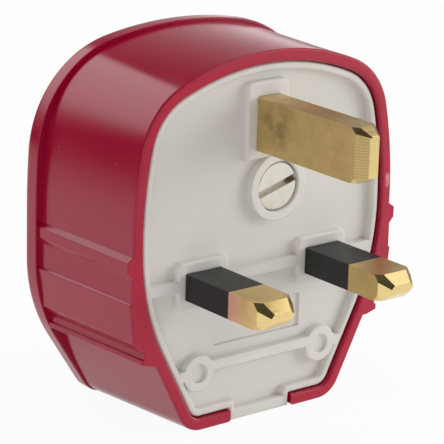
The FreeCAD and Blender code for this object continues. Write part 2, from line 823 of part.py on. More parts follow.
def neutral_pin():
    """The right pin with its terminal."""
    body = line_pin("neutral_pin", NEUTRAL)
    terminal_block(body, NEUTRAL, "0", "terminal_half_width", "terminal_depth")
    wire_bore(body, NEUTRAL, "-terminal_half_width", f"{FLOOR_BACK} + terminal_depth / 2")
    screw_bore(
        body, NEUTRAL, "0", TERMINAL_BACK, "terminal_screw_radius", "terminal_screw_length"
    )


def live_pin():
    """The left pin with its flat head and the stub that the fuse clip is fixed on."""
    body = line_pin("live_pin", LIVE)
    terminal_block(body, LIVE, "0", "terminal_half_width", "live_head_depth")
    stub = face_sketch(body, "live_pin_stub", CLIP_SEAT)
    circle(stub, LIVE, "0", "pin_stub_radius")
    pad(body, stub, "clip_plate", backward=True)


def earth_pin():
    """The upper pin, bare brass all along, with its terminal."""
    body = new_body("earth_pin")
    blade = face_sketch(body, "earth_pin_blade", FLOOR_BACK)
    rectangle(blade, "0", "earth_pin_level", "earth_pin_width / 2", "earth_pin_height / 2")
    pad(body, blade, f"earth_pin_length - earth_tip_length + {FLOOR_BACK}")
    pin_tip(
        body,
        "0",
        "earth_pin_level",
        "earth_pin_width",
        "earth_pin_height",
        "earth_pin_length - earth_tip_length",
        "earth_tip_length",
        "earth_tip_width",
        "earth_tip_height",
        "earth_tip_cut",
    )
    terminal_block(body, "0", "earth_pin_level", "earth_terminal_half_height", "terminal_depth")
    foot = "earth_pin_level - earth_terminal_half_height"
    wire_bore(body, "0", foot, f"{FLOOR_BACK} + terminal_depth / 2")
    screw_bore(
        body,
        "0",
        "earth_pin_level",
        TERMINAL_BACK,
        "terminal_screw_radius",
        "terminal_screw_length",
    )


def sleeve(label, x):
    """The insulating sleeve of a lower pin, flush with the brass beyond it."""
    body = new_body(label)
    tube = face_sketch(body, f"{label}_tube", "-sleeve_length")
    rectangle(tube, x, "0", "line_pin_width / 2", "line_pin_height / 2")
    pad(body, tube, f"sleeve_length + {FLOOR_BACK}", backward=True)
    core = face_sketch(body, f"{label}_core", "-sleeve_length")
    rectangle(core, x, "0", "line_pin_width / 2 - sleeve_wall", "line_pin_height / 2 - sleeve_wall")
    pocket(body, core, f"sleeve_length + {FLOOR_BACK}")


def back_screw(label, x, z, seat, radius, length, head_radius, head):
    """A slotted screw driven from the back, with its head's underside at a depth."""
    body = new_body(label)
    top = face_sketch(body, f"{label}_head", seat)
    circle(top, x, z, head_radius)
    pad(body, top, head, backward=True)
    finish_edges(body, "Chamfer", "head_edge_bevel", lies_at(f"{seat} + {head}"))
    shank = face_sketch(body, f"{label}_shank", seat)
    circle(shank, x, z, radius)
    pad(body, shank, length)
    slot = face_sketch(body, f"{label}_slot", f"{seat} + {head}")
    rectangle(slot, x, z, f"{head_radius} + slot_width", "slot_width / 2")
    pocket(body, slot, "slot_depth", forward=True)


def cover_screw():
    """The screw in the face, with a broad slotted head sunk in its ring."""
    body = new_body("cover_screw")
    x, z = "cover_screw_offset", "cover_screw_level"
    top = face_sketch(body, "cover_screw_top", HEAD_SEAT)
    circle(top, x, z, "cover_head_radius")
    pad(body, top, "cover_head")
    finish_edges(body, "Chamfer", "head_edge_bevel", lies_at("cover_screw_sink"))
    shank = face_sketch(body, "cover_screw_shank", HEAD_SEAT)
    circle(shank, x, z, "cover_screw_radius")
    pad(body, shank, "cover_screw_length", backward=True)
    slot = face_sketch(body, "cover_screw_slot", "cover_screw_sink")
    reach, half = "(cover_head_radius + cover_slot_width)", "cover_slot_width / 2"
    ahead = f"{reach} * cos(cover_slot_turn)", f"{reach} * sin(cover_slot_turn)"
    aside = f"{half} * sin(cover_slot_turn)", f"{half} * cos(cover_slot_turn)"
    polygon(
        slot,
        [
            (f"{x} {a} {ahead[0]} {b} {aside[0]}", f"{z} {a} {ahead[1]} {c} {aside[1]}")
            for a, b, c in (("-", "+", "-"), ("+", "+", "-"), ("+", "-", "+"), ("-", "-", "+"))
        ],
    )
    pocket(body, slot, "cover_slot_depth")


def ring_piece(label, depth, length, outer, inner):
    """A round sleeve or washer on the cover screw's axis."""
    body = new_body(label)
    disc = face_sketch(body, f"{label}_disc", depth)
    circle(disc, "cover_screw_offset", "cover_screw_level", outer)
    circle(disc, "cover_screw_offset", "cover_screw_level", inner)
    pad(body, disc, length, backward=True)


def live_terminal():
    """The terminal beyond the fuse: a block with a wire hole across it and a screw."""
    body = new_body("live_terminal")
    block = face_sketch(body, "live_terminal_block", FLOOR_BACK)
    half_height = "live_terminal_height / 2"
    rectangle(block, LIVE, LIVE_TERMINAL_LEVEL, "live_terminal_half_width", half_height)
    pad(body, block, "live_terminal_depth", backward=True)
    screw_bore(
        body,
        LIVE,
        LIVE_TERMINAL_LEVEL,
        LIVE_TERMINAL_BACK,
        "live_screw_radius",
        "terminal_screw_length",
    )
    bore = sketch_on(
        body, "YZ_Plane", "live_terminal_wire", "live_terminal_half_width - line_pin_offset"
    )
    middle = f"{LIVE_TERMINAL_BACK} - terminal_screw_length"
    circle(bore, middle, LIVE_TERMINAL_LEVEL, "live_wire_bore_radius")
    pocket(body, bore, "live_terminal_half_width * 2 - cap_wall * 4")


def box(name, x, y, z, width, depth, height):
    """A block from its lowest corner."""
    block = doc.addObject("Part::Box", name)
    block.setExpression("Length", bound(width))
    block.setExpression("Width", bound(depth))
    block.setExpression("Height", bound(height))
    for axis, expression in (("x", x), ("y", y), ("z", z)):
        block.setExpression(f"Placement.Base.{axis}", bound(expression))
    return block


def upright(name, x, y, z, radius, height):
    """A cylinder along Z from its lower end."""
    rod = doc.addObject("Part::Cylinder", name)
    rod.setExpression("Radius", bound(radius))
    rod.setExpression("Height", bound(height))
    for axis, expression in (("x", x), ("y", y), ("z", z)):
        rod.setExpression(f"Placement.Base.{axis}", bound(expression))
    return rod


def joined(kind, name, base_piece, tool):
    """One piece cut by, or fused with, another."""
    result = doc.addObject(f"Part::{kind}", name)
    result.Base = base_piece
    result.Tool = tool
    return result


def fuse_clip(label, middle, top, stub):
    """A sprung clip: a plate with two arms that curl round the fuse and open to the back."""
    foot = f"{middle} - clip_width / 2"
    arm_radius = "fuse_radius + clip_clearance + clip_arm"
    outside = upright(f"{label}_outside", LIVE, FUSE_DEPTH, foot, arm_radius, "clip_width")
    plate = box(
        f"{label}_plate",
        f"{LIVE} - clip_half_width",
        CLIP_SEAT,
        foot,
        "clip_half_width * 2",
        "clip_plate",
        f"{top} - ({foot})",
    )
    under = box(
        f"{label}_under",
        f"{LIVE} - clip_half_width",
        f"{CLIP_SEAT} - clip_plate",
        foot,
        "clip_half_width * 2",
        "clip_plate",
        "clip_width",
    )
    mouth = box(
        f"{label}_mouth",
        f"{LIVE} - clip_mouth_half_width",
        FUSE_DEPTH,
        foot,
        "clip_mouth_half_width * 2",
        "fuse_radius * 2",
        "clip_width",
    )
    inside = upright(
        f"{label}_inside", LIVE, FUSE_DEPTH, foot, "fuse_radius + clip_clearance", "clip_width"
    )
    arms = joined("Cut", f"{label}_open", joined("Cut", f"{label}_arms", outside, mouth), under)
    clip = joined("Cut", f"{label}_whole", joined("Fuse", f"{label}_joined", arms, plate), inside)
    if stub:
        hole = doc.addObject("Part::Cylinder", f"{label}_hole")
        hole.Placement.Rotation = FreeCAD.Rotation(Vector(1, 0, 0), -90)
        hole.setExpression("Radius", bound("pin_stub_radius + screw_clearance"))
        hole.setExpression("Height", bound("clip_plate"))
        hole.setExpression("Placement.Base.x", bound(LIVE))
        hole.setExpression("Placement.Base.y", bound(CLIP_SEAT))
        clip = joined("Cut", f"{label}_drilled", clip, hole)
    return place(clip, label)


def cartridge_fuse():
    """The fuse: a ceramic tube with two pressed caps and the wire between them."""
    bore_radius = "fuse_radius - cap_wall"
    for label, foot, opening in (
        ("fuse_cap_lower", "fuse_foot_level", "fuse_foot_level + cap_wall"),
        ("fuse_cap_upper", f"{FUSE_TOP} - cap_length", f"{FUSE_TOP} - cap_length"),
    ):
        can = upright(f"{label}_can", LIVE, FUSE_DEPTH, foot, "fuse_radius", "cap_length")
        bore = upright(
            f"{label}_bore", LIVE, FUSE_DEPTH, opening, bore_radius, "cap_length - cap_wall"
        )
        place(joined("Cut", f"{label}_cup", can, bore), label)
    foot, length = "fuse_foot_level + cap_wall", "fuse_length - 2 * cap_wall"
    tube_radius = f"{bore_radius} - clip_clearance"
    rod = upright("fuse_tube_rod", LIVE, FUSE_DEPTH, foot, tube_radius, length)
    bore = upright(
        "fuse_tube_bore", LIVE, FUSE_DEPTH, foot, f"{tube_radius} - tube_wall", length
    )
    place(joined("Cut", "fuse_tube_wall", rod, bore), "fuse_tube")
    wire = upright("fuse_wire", LIVE, FUSE_DEPTH, foot, "element_radius", length)
    wire.setExpression("Placement.Base.y", bound(f"{FUSE_DEPTH} + {PLACE['y']}"))
    wire.setExpression("Placement.Base.z", bound(f"{foot} + {PLACE['z']}"))
    wire.Label = "fuse_element"


def cord_grip_bar():
    """The bar across the cord, humped in the middle, with a screw hole near each end."""
    body = new_body("cord_grip_bar")
    side = level_sketch(body, "cord_grip_side", "grip_screw_level - grip_bar_width / 2")
    low, high = GRIP_SEAT, f"{GRIP_SEAT} + grip_bar_thickness"
    wide, narrow = "grip_hump_half_width", "grip_hump_half_width - grip_hump_slope"
    polygon(
        side,
        [
            ("-grip_bar_half_length", low),
            (f"-{wide}", low),
            (f"-({narrow})", f"{low} + grip_bar_hump"),
            (narrow, f"{low} + grip_bar_hump"),
            (wide, low),
            ("grip_bar_half_length", low),
            ("grip_bar_half_length", high),
            (wide, high),
            (narrow, f"{high} + grip_bar_hump"),
            (f"-({narrow})", f"{high} + grip_bar_hump"),
            (f"-{wide}", high),
            ("-grip_bar_half_length", high),
        ],
    )
    pad(body, side, "grip_bar_width")
    ends = [
        runs_back_at("grip_bar_half_length", f"grip_screw_level {sign} grip_bar_width / 2", low, high)
        for sign in "+-"
    ]
    finish_edges(
        body, "Fillet", "grip_bar_end_radius", lambda edge: any(test(edge) for test in ends)
    )
    holes = face_sketch(body, "cord_grip_holes", low)
    for sign in ("-", ""):
        x = f"{sign}grip_screw_offset"
        circle(holes, x, "grip_screw_level", "grip_screw_radius + screw_clearance")
    pocket(body, holes, "grip_bar_thickness")


cover()
base()
earth_pin()
neutral_pin()
live_pin()
sleeve("neutral_sleeve", NEUTRAL)
sleeve("live_sleeve", LIVE)
cover_screw()
thread = "cover_screw_radius + screw_clearance"
ring_piece("screw_retainer", BOSS_BACK, "retainer_thickness", "retainer_radius", thread)
ring_piece("cover_insert", POST_FRONT, "insert_length", "insert_radius", thread)
live_terminal()
for label, x, z in (
    ("earth_terminal_screw", "0", "earth_pin_level"),
    ("neutral_terminal_screw", NEUTRAL, "0"),
):
    back_screw(
        label,
        x,
        z,
        TERMINAL_BACK,
        "terminal_screw_radius",
        "terminal_screw_length",
        "terminal_head_radius",
        "terminal_head",
    )
back_screw(
    "live_terminal_screw",
    LIVE,
    LIVE_TERMINAL_LEVEL,
    LIVE_TERMINAL_BACK,
    "live_screw_radius",
    "terminal_screw_length",
    "live_head_radius",
    "terminal_head",
)
fuse_clip("fuse_clip_lower", LOWER_CLIP, f"{LOWER_CLIP} + clip_width / 2", stub=True)
fuse_clip("fuse_clip_upper", UPPER_CLIP, LIVE_TERMINAL_FOOT, stub=False)
cartridge_fuse()
cord_grip_bar()
for side, sign in (("left", "-"), ("right", "")):
    back_screw(
        f"cord_grip_screw_{side}",
        f"{sign}grip_screw_offset",
        "grip_screw_level",
        f"{GRIP_SEAT} + grip_bar_thickness",
        "grip_screw_radius",
        "grip_screw_length",
        "grip_head_radius",
        "grip_head",
    )
doc.recompute()

PIECES = [
    "cover",
    "base",
    "earth_pin",
    "neutral_pin",
    "live_pin",
    "neutral_sleeve",
    "live_sleeve",
    "cover_screw",
    "screw_retainer",
    "cover_insert",
    "live_terminal",
    "earth_terminal_screw",
    "neutral_terminal_screw",
    "live_terminal_screw",
    "fuse_clip_lower",
    "fuse_clip_upper",
    "fuse_cap_lower",
    "fuse_cap_upper",
    "fuse_tube",
    "fuse_element",
    "cord_grip_bar",
    "cord_grip_screw_left",
    "cord_grip_screw_right",
]

for thing in doc.Objects:
    if "Invalid" in thing.State or "Error" in thing.State:
        raise RuntimeError(f"{thing.Label} failed: {thing.State}")
os.makedirs("parts", exist_ok=True)
for label in PIECES:
    (piece,) = doc.getObjectsByLabel(label)
    shape = piece.Shape
    if shape.isNull() or not shape.isValid() or len(shape.Solids) != 1:
        raise RuntimeError(f"{label} is not one valid solid")
    shape.exportStep(f"parts/{label}.step")
    print(f"{label}: {shape.Volume:.1f} cubic mm, {len(shape.Faces)} faces")
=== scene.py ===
"""A three pin plug seen from its pins: red moulded cover, white base, sleeved brass pins.

Lengths are in metres. Shapes are worked out in the plug's own layout: x to the right, depth
behind the face plane and height above the centreline of the two line pins.
"""

import math

import bmesh
import bpy
import numpy as np
from mathutils import Matrix, Vector


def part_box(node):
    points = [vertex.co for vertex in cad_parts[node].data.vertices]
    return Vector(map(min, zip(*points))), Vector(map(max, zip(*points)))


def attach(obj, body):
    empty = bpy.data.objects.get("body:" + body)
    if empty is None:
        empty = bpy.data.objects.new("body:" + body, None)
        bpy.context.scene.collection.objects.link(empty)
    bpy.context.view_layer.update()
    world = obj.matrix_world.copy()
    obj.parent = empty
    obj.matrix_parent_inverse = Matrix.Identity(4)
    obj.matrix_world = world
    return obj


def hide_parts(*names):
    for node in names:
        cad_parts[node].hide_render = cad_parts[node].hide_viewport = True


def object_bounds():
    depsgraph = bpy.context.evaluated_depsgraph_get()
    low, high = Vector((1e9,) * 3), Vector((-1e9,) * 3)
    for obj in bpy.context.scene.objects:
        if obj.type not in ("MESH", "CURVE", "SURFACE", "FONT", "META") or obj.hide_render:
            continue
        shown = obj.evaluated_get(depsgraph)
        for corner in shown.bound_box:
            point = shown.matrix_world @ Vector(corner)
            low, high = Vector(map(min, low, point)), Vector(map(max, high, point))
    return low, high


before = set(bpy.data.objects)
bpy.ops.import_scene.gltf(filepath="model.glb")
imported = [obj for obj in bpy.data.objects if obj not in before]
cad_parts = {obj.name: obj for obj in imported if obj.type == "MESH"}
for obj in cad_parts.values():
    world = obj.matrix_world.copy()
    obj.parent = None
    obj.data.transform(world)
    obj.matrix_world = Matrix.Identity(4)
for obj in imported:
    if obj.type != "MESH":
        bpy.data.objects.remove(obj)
CAD_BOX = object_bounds()

bl_info = {
    "name": "Three pin plug looks",
    "version": (1, 0, 0),
    "blender": (4, 5, 0),
    "location": "3D View > Sidebar > Plug",
    "description": "Builds the moulded cover, finishes and studio of a three pin plug",
    "category": "Object",
}

MM = 0.001
BODY = "root"
WHITE = (1.0, 1.0, 1.0, 1.0)

EARTH_LENGTH = 22.73 * MM  # how far the earth pin stands out of the face

# What the solids give: the cover's box, the earth pin's tip, the level of the line pins'
# centreline, the face plane, and how far the foot lies below the centreline.
SLEEVE_LOW, SLEEVE_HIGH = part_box("neutral_sleeve")
COVER_LOW, COVER_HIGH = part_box("cover")
EARTH_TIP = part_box("earth_pin")[0].y
LINE_LEVEL = (SLEEVE_LOW.z + SLEEVE_HIGH.z) / 2
FACE = EARTH_TIP + EARTH_LENGTH
FOOT_DROP = LINE_LEVEL - COVER_LOW.z

# The outlines: the height of the middle of the bowed sides, how many points each stretch
# has, and the turn in radians below which a corner isn't rounded.
SIDE_LEVEL = 8.0 * MM
FOOT_POINTS, CORNER_POINTS, TAPER_POINTS, LOWER_POINTS = 12, 14, 12, 18
STRAIGHT_POINTS, SIDE_POINTS, SHOULDER_POINTS, CROWN_POINTS = 3, 18, 30, 26
LEAST_TURN = 1e-3

# The cover's mesh: points nearer than the weld become one, and an edge that turns more than
# the crease stays sharp. The solids: the same weld, and an edge that turns more is bevelled.
WELD, CREASE = 0.002 * MM, math.radians(32)
SOLID_WELD, BEVEL_CREASE = 0.001 * MM, math.radians(30)

# The grips' steps in millimetres, from the lowest up: height and reach from the middle at the
# flange, then how much less they reach and how much higher they lie at the rim.
GRIP_STEPS = (
    (-12.4, 19.4, -0.9, 1.8),
    (-10.1, 23.4, 1.25, 0.0),
    (-9.3, 23.4, 1.25, 0.0),
    (-9.3, 23.1, 1.3, 0.0),
    (-8.4, 23.1, 1.3, 0.0),
    (-6.6, 24.5, 0.75, 0.0),
    (-0.75, 25.45, 1.0, 0.0),
    (-0.45, 25.05, 0.9, 0.0),
    (3.2, 25.05, 0.9, 0.0),
    (4.1, 25.4, 0.45, 0.0),
    (5.6, 25.4, 0.45, 0.0),
)
# Where the grips' lowest step starts, from the middle, and the height of their upper end.
GRIP_FOOT, GRIP_TOP = 18.6 * MM, 6.3 * MM
# Their corners inside the wall: how deep each lies in it, and its height.
GRIP_ROOT = ((0.1 * MM, GRIP_TOP), (0.9 * MM, GRIP_TOP), (2.2 * MM, -3.0 * MM))

# The photograph's camera; its focal length is in pixels, as the picture's side is.
PICTURE_SIDE, FOCAL_LENGTH, SENSOR = 444, 2429.15, 36.0
CAMERA_WAY = (-38.96, 17.01)  # azimuth and elevation, in degrees
CAMERA_ROLL = math.radians(1.53)
CAMERA_DISTANCE = 345.83 * MM
CAMERA_AIM = (-8.017 * MM, 8.666 * MM)  # across and height

# The lights: name, azimuth and elevation in degrees, distance, width, height and radiance.
LIGHT_PANELS = (
    ("key_panel", 62.0, 14.0, 0.55, 0.36, 0.36, 3.9),
    ("front_panel", -56.0, 0.0, 0.6, 0.4, 0.3, 1.8),
    ("top_panel", 78.0, 62.0, 0.55, 0.4, 0.4, 1.4),
)
# The same for the panels that glow, and then how the glow runs from foot to head: the place
# as a share of the height from the middle, and the level there.
GLOWING_PANELS = (
    (
        ("back_left_panel", -160.0, 27.0, 0.6, 0.585, 0.5, 2.35),
        (
            (-0.5, 0.08),
            (-0.345, 0.17),
            (-0.255, 0.3),
            (-0.21, 0.46),
            (-0.147, 0.68),
            (-0.06, 0.86),
            (0.084, 1.0),
            (0.5, 0.95),
        ),
    ),
    (
        ("back_right_panel", 146.0, 19.0, 0.6, 0.344, 0.413, 1.3),
        ((-0.5, 1.0), (-0.42, 1.0), (-0.257, 0.65), (-0.1, 0.46), (0.18, 0.27), (0.5, 0.12)),
    ),
)

# The floor: its side, how white the camera sees it, and how it fades in gloss with distance.
# The surround: its grey, and how bright gloss shows it.
FLOOR_SIDE, FLOOR_WHITE = 1.8, 0.94
FLOOR_FADE = ((0.0, 1.0), (0.18, 1.0), (0.5, 0.14), (0.9, 0.08))
SURROUND, SURROUND_GLOSS = (0.42, 0.42, 0.43, 1.0), (0.06, 0.06, 0.06, 1.0)


def length(name, description, default):
    """A size that the user can change, in metres."""
    return bpy.props.FloatProperty(
        name=name,
        description=description,
        default=default,
        min=0.0,
        unit="LENGTH",
        subtype="DISTANCE",
        precision=5,
    )


def tint(name, description, default):
    """A colour that the user can change, given as 8-bit red, green and blue.

    A part that is the share c of 255 becomes ((c + 0.055) / 1.055) ** 2.4, or c / 12.92 near
    black.
    """
    linear = [((c / 255 + 0.055) / 1.055) ** 2.4 if c > 10 else c / 255 / 12.92 for c in default]
    return bpy.props.FloatVectorProperty(
        name=name,
        description=description,
        default=linear,
        min=0.0,
        max=1.0,
        size=3,
        subtype="COLOR",
    )


class PlugCoverSizes(bpy.types.PropertyGroup):
    """Sizes of the red cover that the solids' boxes don't give."""

    rim_half_width: length("Rim half width", "Half the width of the front rim", 24.0 * MM)
    rim_top: length("Rim top", "Height of the rim above the line pins", 32.8 * MM)
    wall_half_width: length("Wall half width", "Half the width at the flange", 24.8 * MM)
    wall_top: length("Wall top", "Height of the wall at the flange", 32.7 * MM)
    wall: length("Wall", "Thickness of the moulded wall", 1.85 * MM)
    ledge: length("Ledge", "Width of the ledge that the base rests on", 0.75 * MM)
    seat: length("Seat", "Depth of the ledge behind the face", 6.0 * MM)
    proud: length("Rim proud", "How far the rim stands before the face", 0.5 * MM)
    flange_front: length("Flange front", "Depth of the flange's front side", 20.8 * MM)
    flange_back: length("Flange back", "Depth of the flange's back side", 24.0 * MM)
    flange_round: length("Flange rounding", "Radius round the back edge", 1.3 * MM)
    rim_round: length("Rim rounding", "Radius round the rim's outer edge", 0.35 * MM)
    inner_round: length("Inner rounding", "Radius round the rim's inner edge", 0.45 * MM)
    grip_round: length("Grip rounding", "Radius on the edges of the grips", 0.18 * MM)


class PlugTints(bpy.types.PropertyGroup):
    """Colours of the plug's finishes."""

    cover: tint("Cover", "Red of the moulded cover", (164, 2, 48))
    rim: tint("Rim", "Red of the finely matt rim", (180, 3, 50))
    nick: tint("Nick", "Pale plastic where the rim is scratched", (226, 176, 180))
    base: tint("Base", "Warm white of the moulded base", (232, 228, 221))
    sleeve: tint("Sleeve", "Black of the pins' sleeves", (25, 24, 23))
    brass: tint("Brass", "Drawn brass of the pins", (224, 196, 134))
    cut_brass: tint("Cut brass", "Freshly cut brass at the tips", (236, 211, 148))
    patina: tint("Patina", "Dull olive patch by the root of the earth pin", (128, 112, 78))
    scuff: tint("Scuff", "Pinkish scratches on the live pin", (255, 206, 196))
    nickel: tint("Nickel", "Plated head of the screw", (226, 222, 210))
    slot_dirt: tint("Slot dirt", "Brown dirt at the end of the screw's slot", (150, 128, 92))
    paper_white: tint("Floor", "Pale floor", (250, 250, 250))


def settings(kind):
    """The group of settings of one kind."""
    return getattr(bpy.context.scene, f"plug_{kind}")


# Plans: each gives its points as (x, height) for an inset, always the same number of them.


def arc(centre, radius, start, stop, count):
    """Points of an arc: centre + radius * (cos, sin) from one angle to the other."""
    turn = np.linspace(start, stop, count)
    return np.column_stack(
        [centre[0] + radius * np.cos(turn), centre[1] + radius * np.sin(turn)]
    )


def plug_plan(shape, inset=0.0):
    """The plug's outline as arcs and straight runs that touch, from the foot round to the foot.

    Each arc's radius shrinks by the inset. The shoulder touches the crown and the side from
    inside: its centre is as far from theirs as their radii are larger than its own. The corner
    touches the taper and the foot.
    """
    crown_r, shoulder_r, side_r, lower_r, corner_r = (
        shape[part] - inset for part in ("crown", "shoulder", "side", "lower", "corner")
    )
    half, top, foot = shape["half"] - inset, shape["top"] - inset, inset - FOOT_DROP
    taper = shape["taper"]
    crown = np.array([0.0, top - crown_r])
    side = np.array([half - side_r, SIDE_LEVEL])
    lower = np.array([half - lower_r, shape["level"]])

    between = side - crown
    gap = np.linalg.norm(between)
    along = ((crown_r - shoulder_r) ** 2 - (side_r - shoulder_r) ** 2 + gap**2) / (2 * gap)
    across = math.sqrt((crown_r - shoulder_r) ** 2 - along**2)
    unit = between / gap
    square = np.array([unit[1], -unit[0]])
    shoulder = max(
        (crown + unit * along + square * across * sign for sign in (1, -1)),
        key=lambda point: point[0],
    )
    taper_top = lower + lower_r * np.array([math.cos(taper), -math.sin(taper)])
    level = foot + corner_r
    shift = math.sin(taper) * (level - taper_top[1]) - corner_r
    corner = np.array([taper_top[0] + shift / math.cos(taper), level])

    crown_turn = math.atan2(*(shoulder - crown)[::-1])
    side_turn = math.atan2(*(shoulder - side)[::-1])
    foot_across = np.linspace(0, corner[0], FOOT_POINTS)[:-1]
    foot_run = np.column_stack([foot_across, np.full(FOOT_POINTS - 1, foot)])
    corner_run = arc(corner, corner_r, -math.pi / 2, -taper, CORNER_POINTS)
    lower_run = arc(lower, lower_r, -taper, 0.0, LOWER_POINTS)
    taper_run = np.linspace(corner_run[-1], lower_run[0], TAPER_POINTS)[1:-1]
    side_run = arc(side, side_r, 0.0, side_turn, SIDE_POINTS)
    straight_run = np.linspace(lower_run[-1], side_run[0], STRAIGHT_POINTS)[1:-1]
    shoulder_run = arc(shoulder, shoulder_r, side_turn, crown_turn, SHOULDER_POINTS)[1:]
    crown_run = arc(crown, crown_r, crown_turn, math.pi / 2, CROWN_POINTS)[1:]
    below = [foot_run, corner_run, taper_run, lower_run]
    above = [straight_run, side_run, shoulder_run, crown_run]
    right = np.concatenate(below + above)
    left = right[-2:0:-1] * [-1, 1]
    return np.concatenate([right, left])


def rounded(path, radii, steps=5):
    """An open path whose corners are arcs that touch both of their runs.

    For a corner of turn t and radius r the arc starts r * tan(t / 2) before the corner, and
    its centre lies along the bisector at r / cos(t / 2).
    """
    path = np.asarray(path, float)
    done = [path[:1]]
    for before, here, after, radius in zip(path, path[1:], path[2:], radii):
        into, away = here - before, after - here
        into, away = into / np.linalg.norm(into), away / np.linalg.norm(away)
        turn = math.atan2(into[0] * away[1] - into[1] * away[0], into @ away)
        if radius <= 0 or abs(turn) < LEAST_TURN:
            done.append(here[None])
            continue
        side = math.copysign(1.0, turn)
        start = here - into * radius * abs(math.tan(turn / 2))
        centre = start + np.array([-into[1], into[0]]) * radius * side
        first = math.atan2(*(start - centre)[::-1])
        done.append(arc(centre, radius, first, first + turn, steps))
    return np.concatenate(done + [path[-1:]])


def stood(flat, depth):
    """A ring: points (x, height) at one depth."""
    return np.column_stack([flat[:, 0], np.full(len(flat), depth), flat[:, 1]])


def carried(plan, profile):
    """A profile of (inset, depth) carried round a plan: one ring for each of its points."""
    return np.array([stood(plan(inset, depth), depth) for inset, depth in profile])


def steady(plan, *facts):
    """A plan that is the same at every depth."""
    return lambda inset, depth: plan(*facts, inset)


# Meshes


def closed_mesh(name, rings, fans=True):
    """A closed mesh from rings of points, in the plug's layout, with both ends shut.

    Point i of ring j is joined to point i + 1 and to ring j + 1. The ends are fans about
    their middle, or one flat face where the plan isn't round enough for a fan. The faces
    are turned over where the volume, a sixth of the sum of the triple products, is negative.
    """
    many, around = rings.shape[:2]
    points = rings.reshape(-1, 3)
    index = np.arange(many * around).reshape(many, around)
    after = np.roll(index, -1, axis=1)
    quads = np.stack([index[:-1], after[:-1], after[1:], index[1:]], axis=-1).reshape(-1, 4)
    tips = np.vstack([points, rings[0].mean(0), rings[-1].mean(0)])
    middles = np.full((2, around), [[many * around], [many * around + 1]])
    ends = np.concatenate(
        [
            np.stack([middles[0], after[0], index[0]], axis=-1),
            np.stack([middles[1], index[-1], after[-1]], axis=-1),
        ]
    )
    halves = np.concatenate([quads[:, [0, 1, 2]], quads[:, [0, 2, 3]], ends])
    a, b, c = (tips[halves[:, i]] for i in range(3))
    volume = (np.cross(a, b) * c).sum()
    if fans:
        points = tips
        faces = quads.tolist() + ends.tolist()
    else:
        faces = quads.tolist() + [index[0][::-1].tolist(), index[-1].tolist()]
    if volume < 0:
        faces = [face[::-1] for face in faces]
    mesh = bpy.data.meshes.new(name)
    mesh.from_pydata((points + [0.0, FACE, LINE_LEVEL]).tolist(), [], faces)
    mesh.update()
    return mesh


def solid(name, rings, fans=True):
    """An object for one closed mesh."""
    piece = bpy.data.objects.new(name, closed_mesh(name, rings, fans))
    bpy.context.scene.collection.objects.link(piece)
    return piece


def discard(piece):
    """Deletes an object and its mesh."""
    mesh = piece.data
    bpy.data.objects.remove(piece)
    bpy.data.meshes.remove(mesh)


def cut_away(piece, tool):
    """Cuts a tool away from a piece and deletes the tool."""
    step = piece.modifiers.new("cut", "BOOLEAN")
    step.operation = "DIFFERENCE"
    step.object = tool
    step.solver = "EXACT"
    graph = bpy.context.evaluated_depsgraph_get()
    made = bpy.data.meshes.new_from_object(piece.evaluated_get(graph), depsgraph=graph)
    piece.modifiers.clear()
    old = piece.data
    piece.data = made
    bpy.data.meshes.remove(old)
    discard(tool)
    if not piece.data.polygons:
        raise RuntimeError(f"{piece.name} is empty after a cut")


def take_in(piece, other):
    """Adds another closed mesh to a piece, seated in its wall, and deletes the other."""
    work = bmesh.new()
    work.from_mesh(piece.data)
    work.from_mesh(other.data)
    work.to_mesh(piece.data)
    work.free()
    discard(other)


def finish_piece(piece, name, node, material):
    """Smooths a finished piece, names it and stands it for its node."""
    piece.name = name
    piece.data.name = name
    work = bmesh.new()
    work.from_mesh(piece.data)
    bmesh.ops.remove_doubles(work, verts=work.verts, dist=WELD)
    work.to_mesh(piece.data)
    work.free()
    piece.data.materials.clear()
    piece.data.materials.append(material)
    piece.data.shade_smooth()
    piece.data.set_sharp_from_angle(angle=CREASE)
    even = piece.modifiers.new("even shading", "WEIGHTED_NORMAL")
    even.keep_sharp = True
    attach(piece, BODY)
    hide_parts(node)


def dress(node, material, edge=0.0):
    """Gives a solid its finish, and soft edges where it shows."""
    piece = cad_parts[node]
    slots = piece.data.materials
    if not slots:
        slots.append(material)
    for index in range(len(slots)):
        slots[index] = material
    if edge > 0:
        weld = piece.modifiers.new("weld", "WELD")
        weld.merge_threshold = SOLID_WELD
        soft = piece.modifiers.new("soft edges", "BEVEL")
        soft.width = edge
        soft.segments = 2
        soft.limit_method = "ANGLE"
        soft.angle_limit = BEVEL_CREASE
        soft.harden_normals = True


# Finishes


class Wire:
    """A socket on which plain arithmetic adds Math nodes."""

    def __init__(self, graph, socket):
        self.graph = graph
        self.socket = socket

    def _math(self, operation, *values):
        return self.graph.node("ShaderNodeMath", {"operation": operation}, *values)

    def __add__(self, other):
        return self._math("ADD", self, other)

    def __sub__(self, other):
        return self._math("SUBTRACT", self, other)

    def __mul__(self, other):
        return self._math("MULTIPLY", self, other)

    def __truediv__(self, other):
        return self._math("DIVIDE", self, other)

    def __rsub__(self, other):
        return self._math("SUBTRACT", other, self)

    __radd__ = __add__

    def above(self, level, softness):
        """0 well below a level and 1 well above it, with a soft change between."""
        facts = {"interpolation_type": "SMOOTHSTEP"}
        return self.graph.node(
            "ShaderNodeMapRange", facts, self, level - softness, level + softness, 0.0, 1.0
        )

    def most(self, other):
        """The larger of two values."""
        return self._math("MAXIMUM", self, other)

    def wave(self):
        """The sine of the value."""
        return self._math("SINE", self)


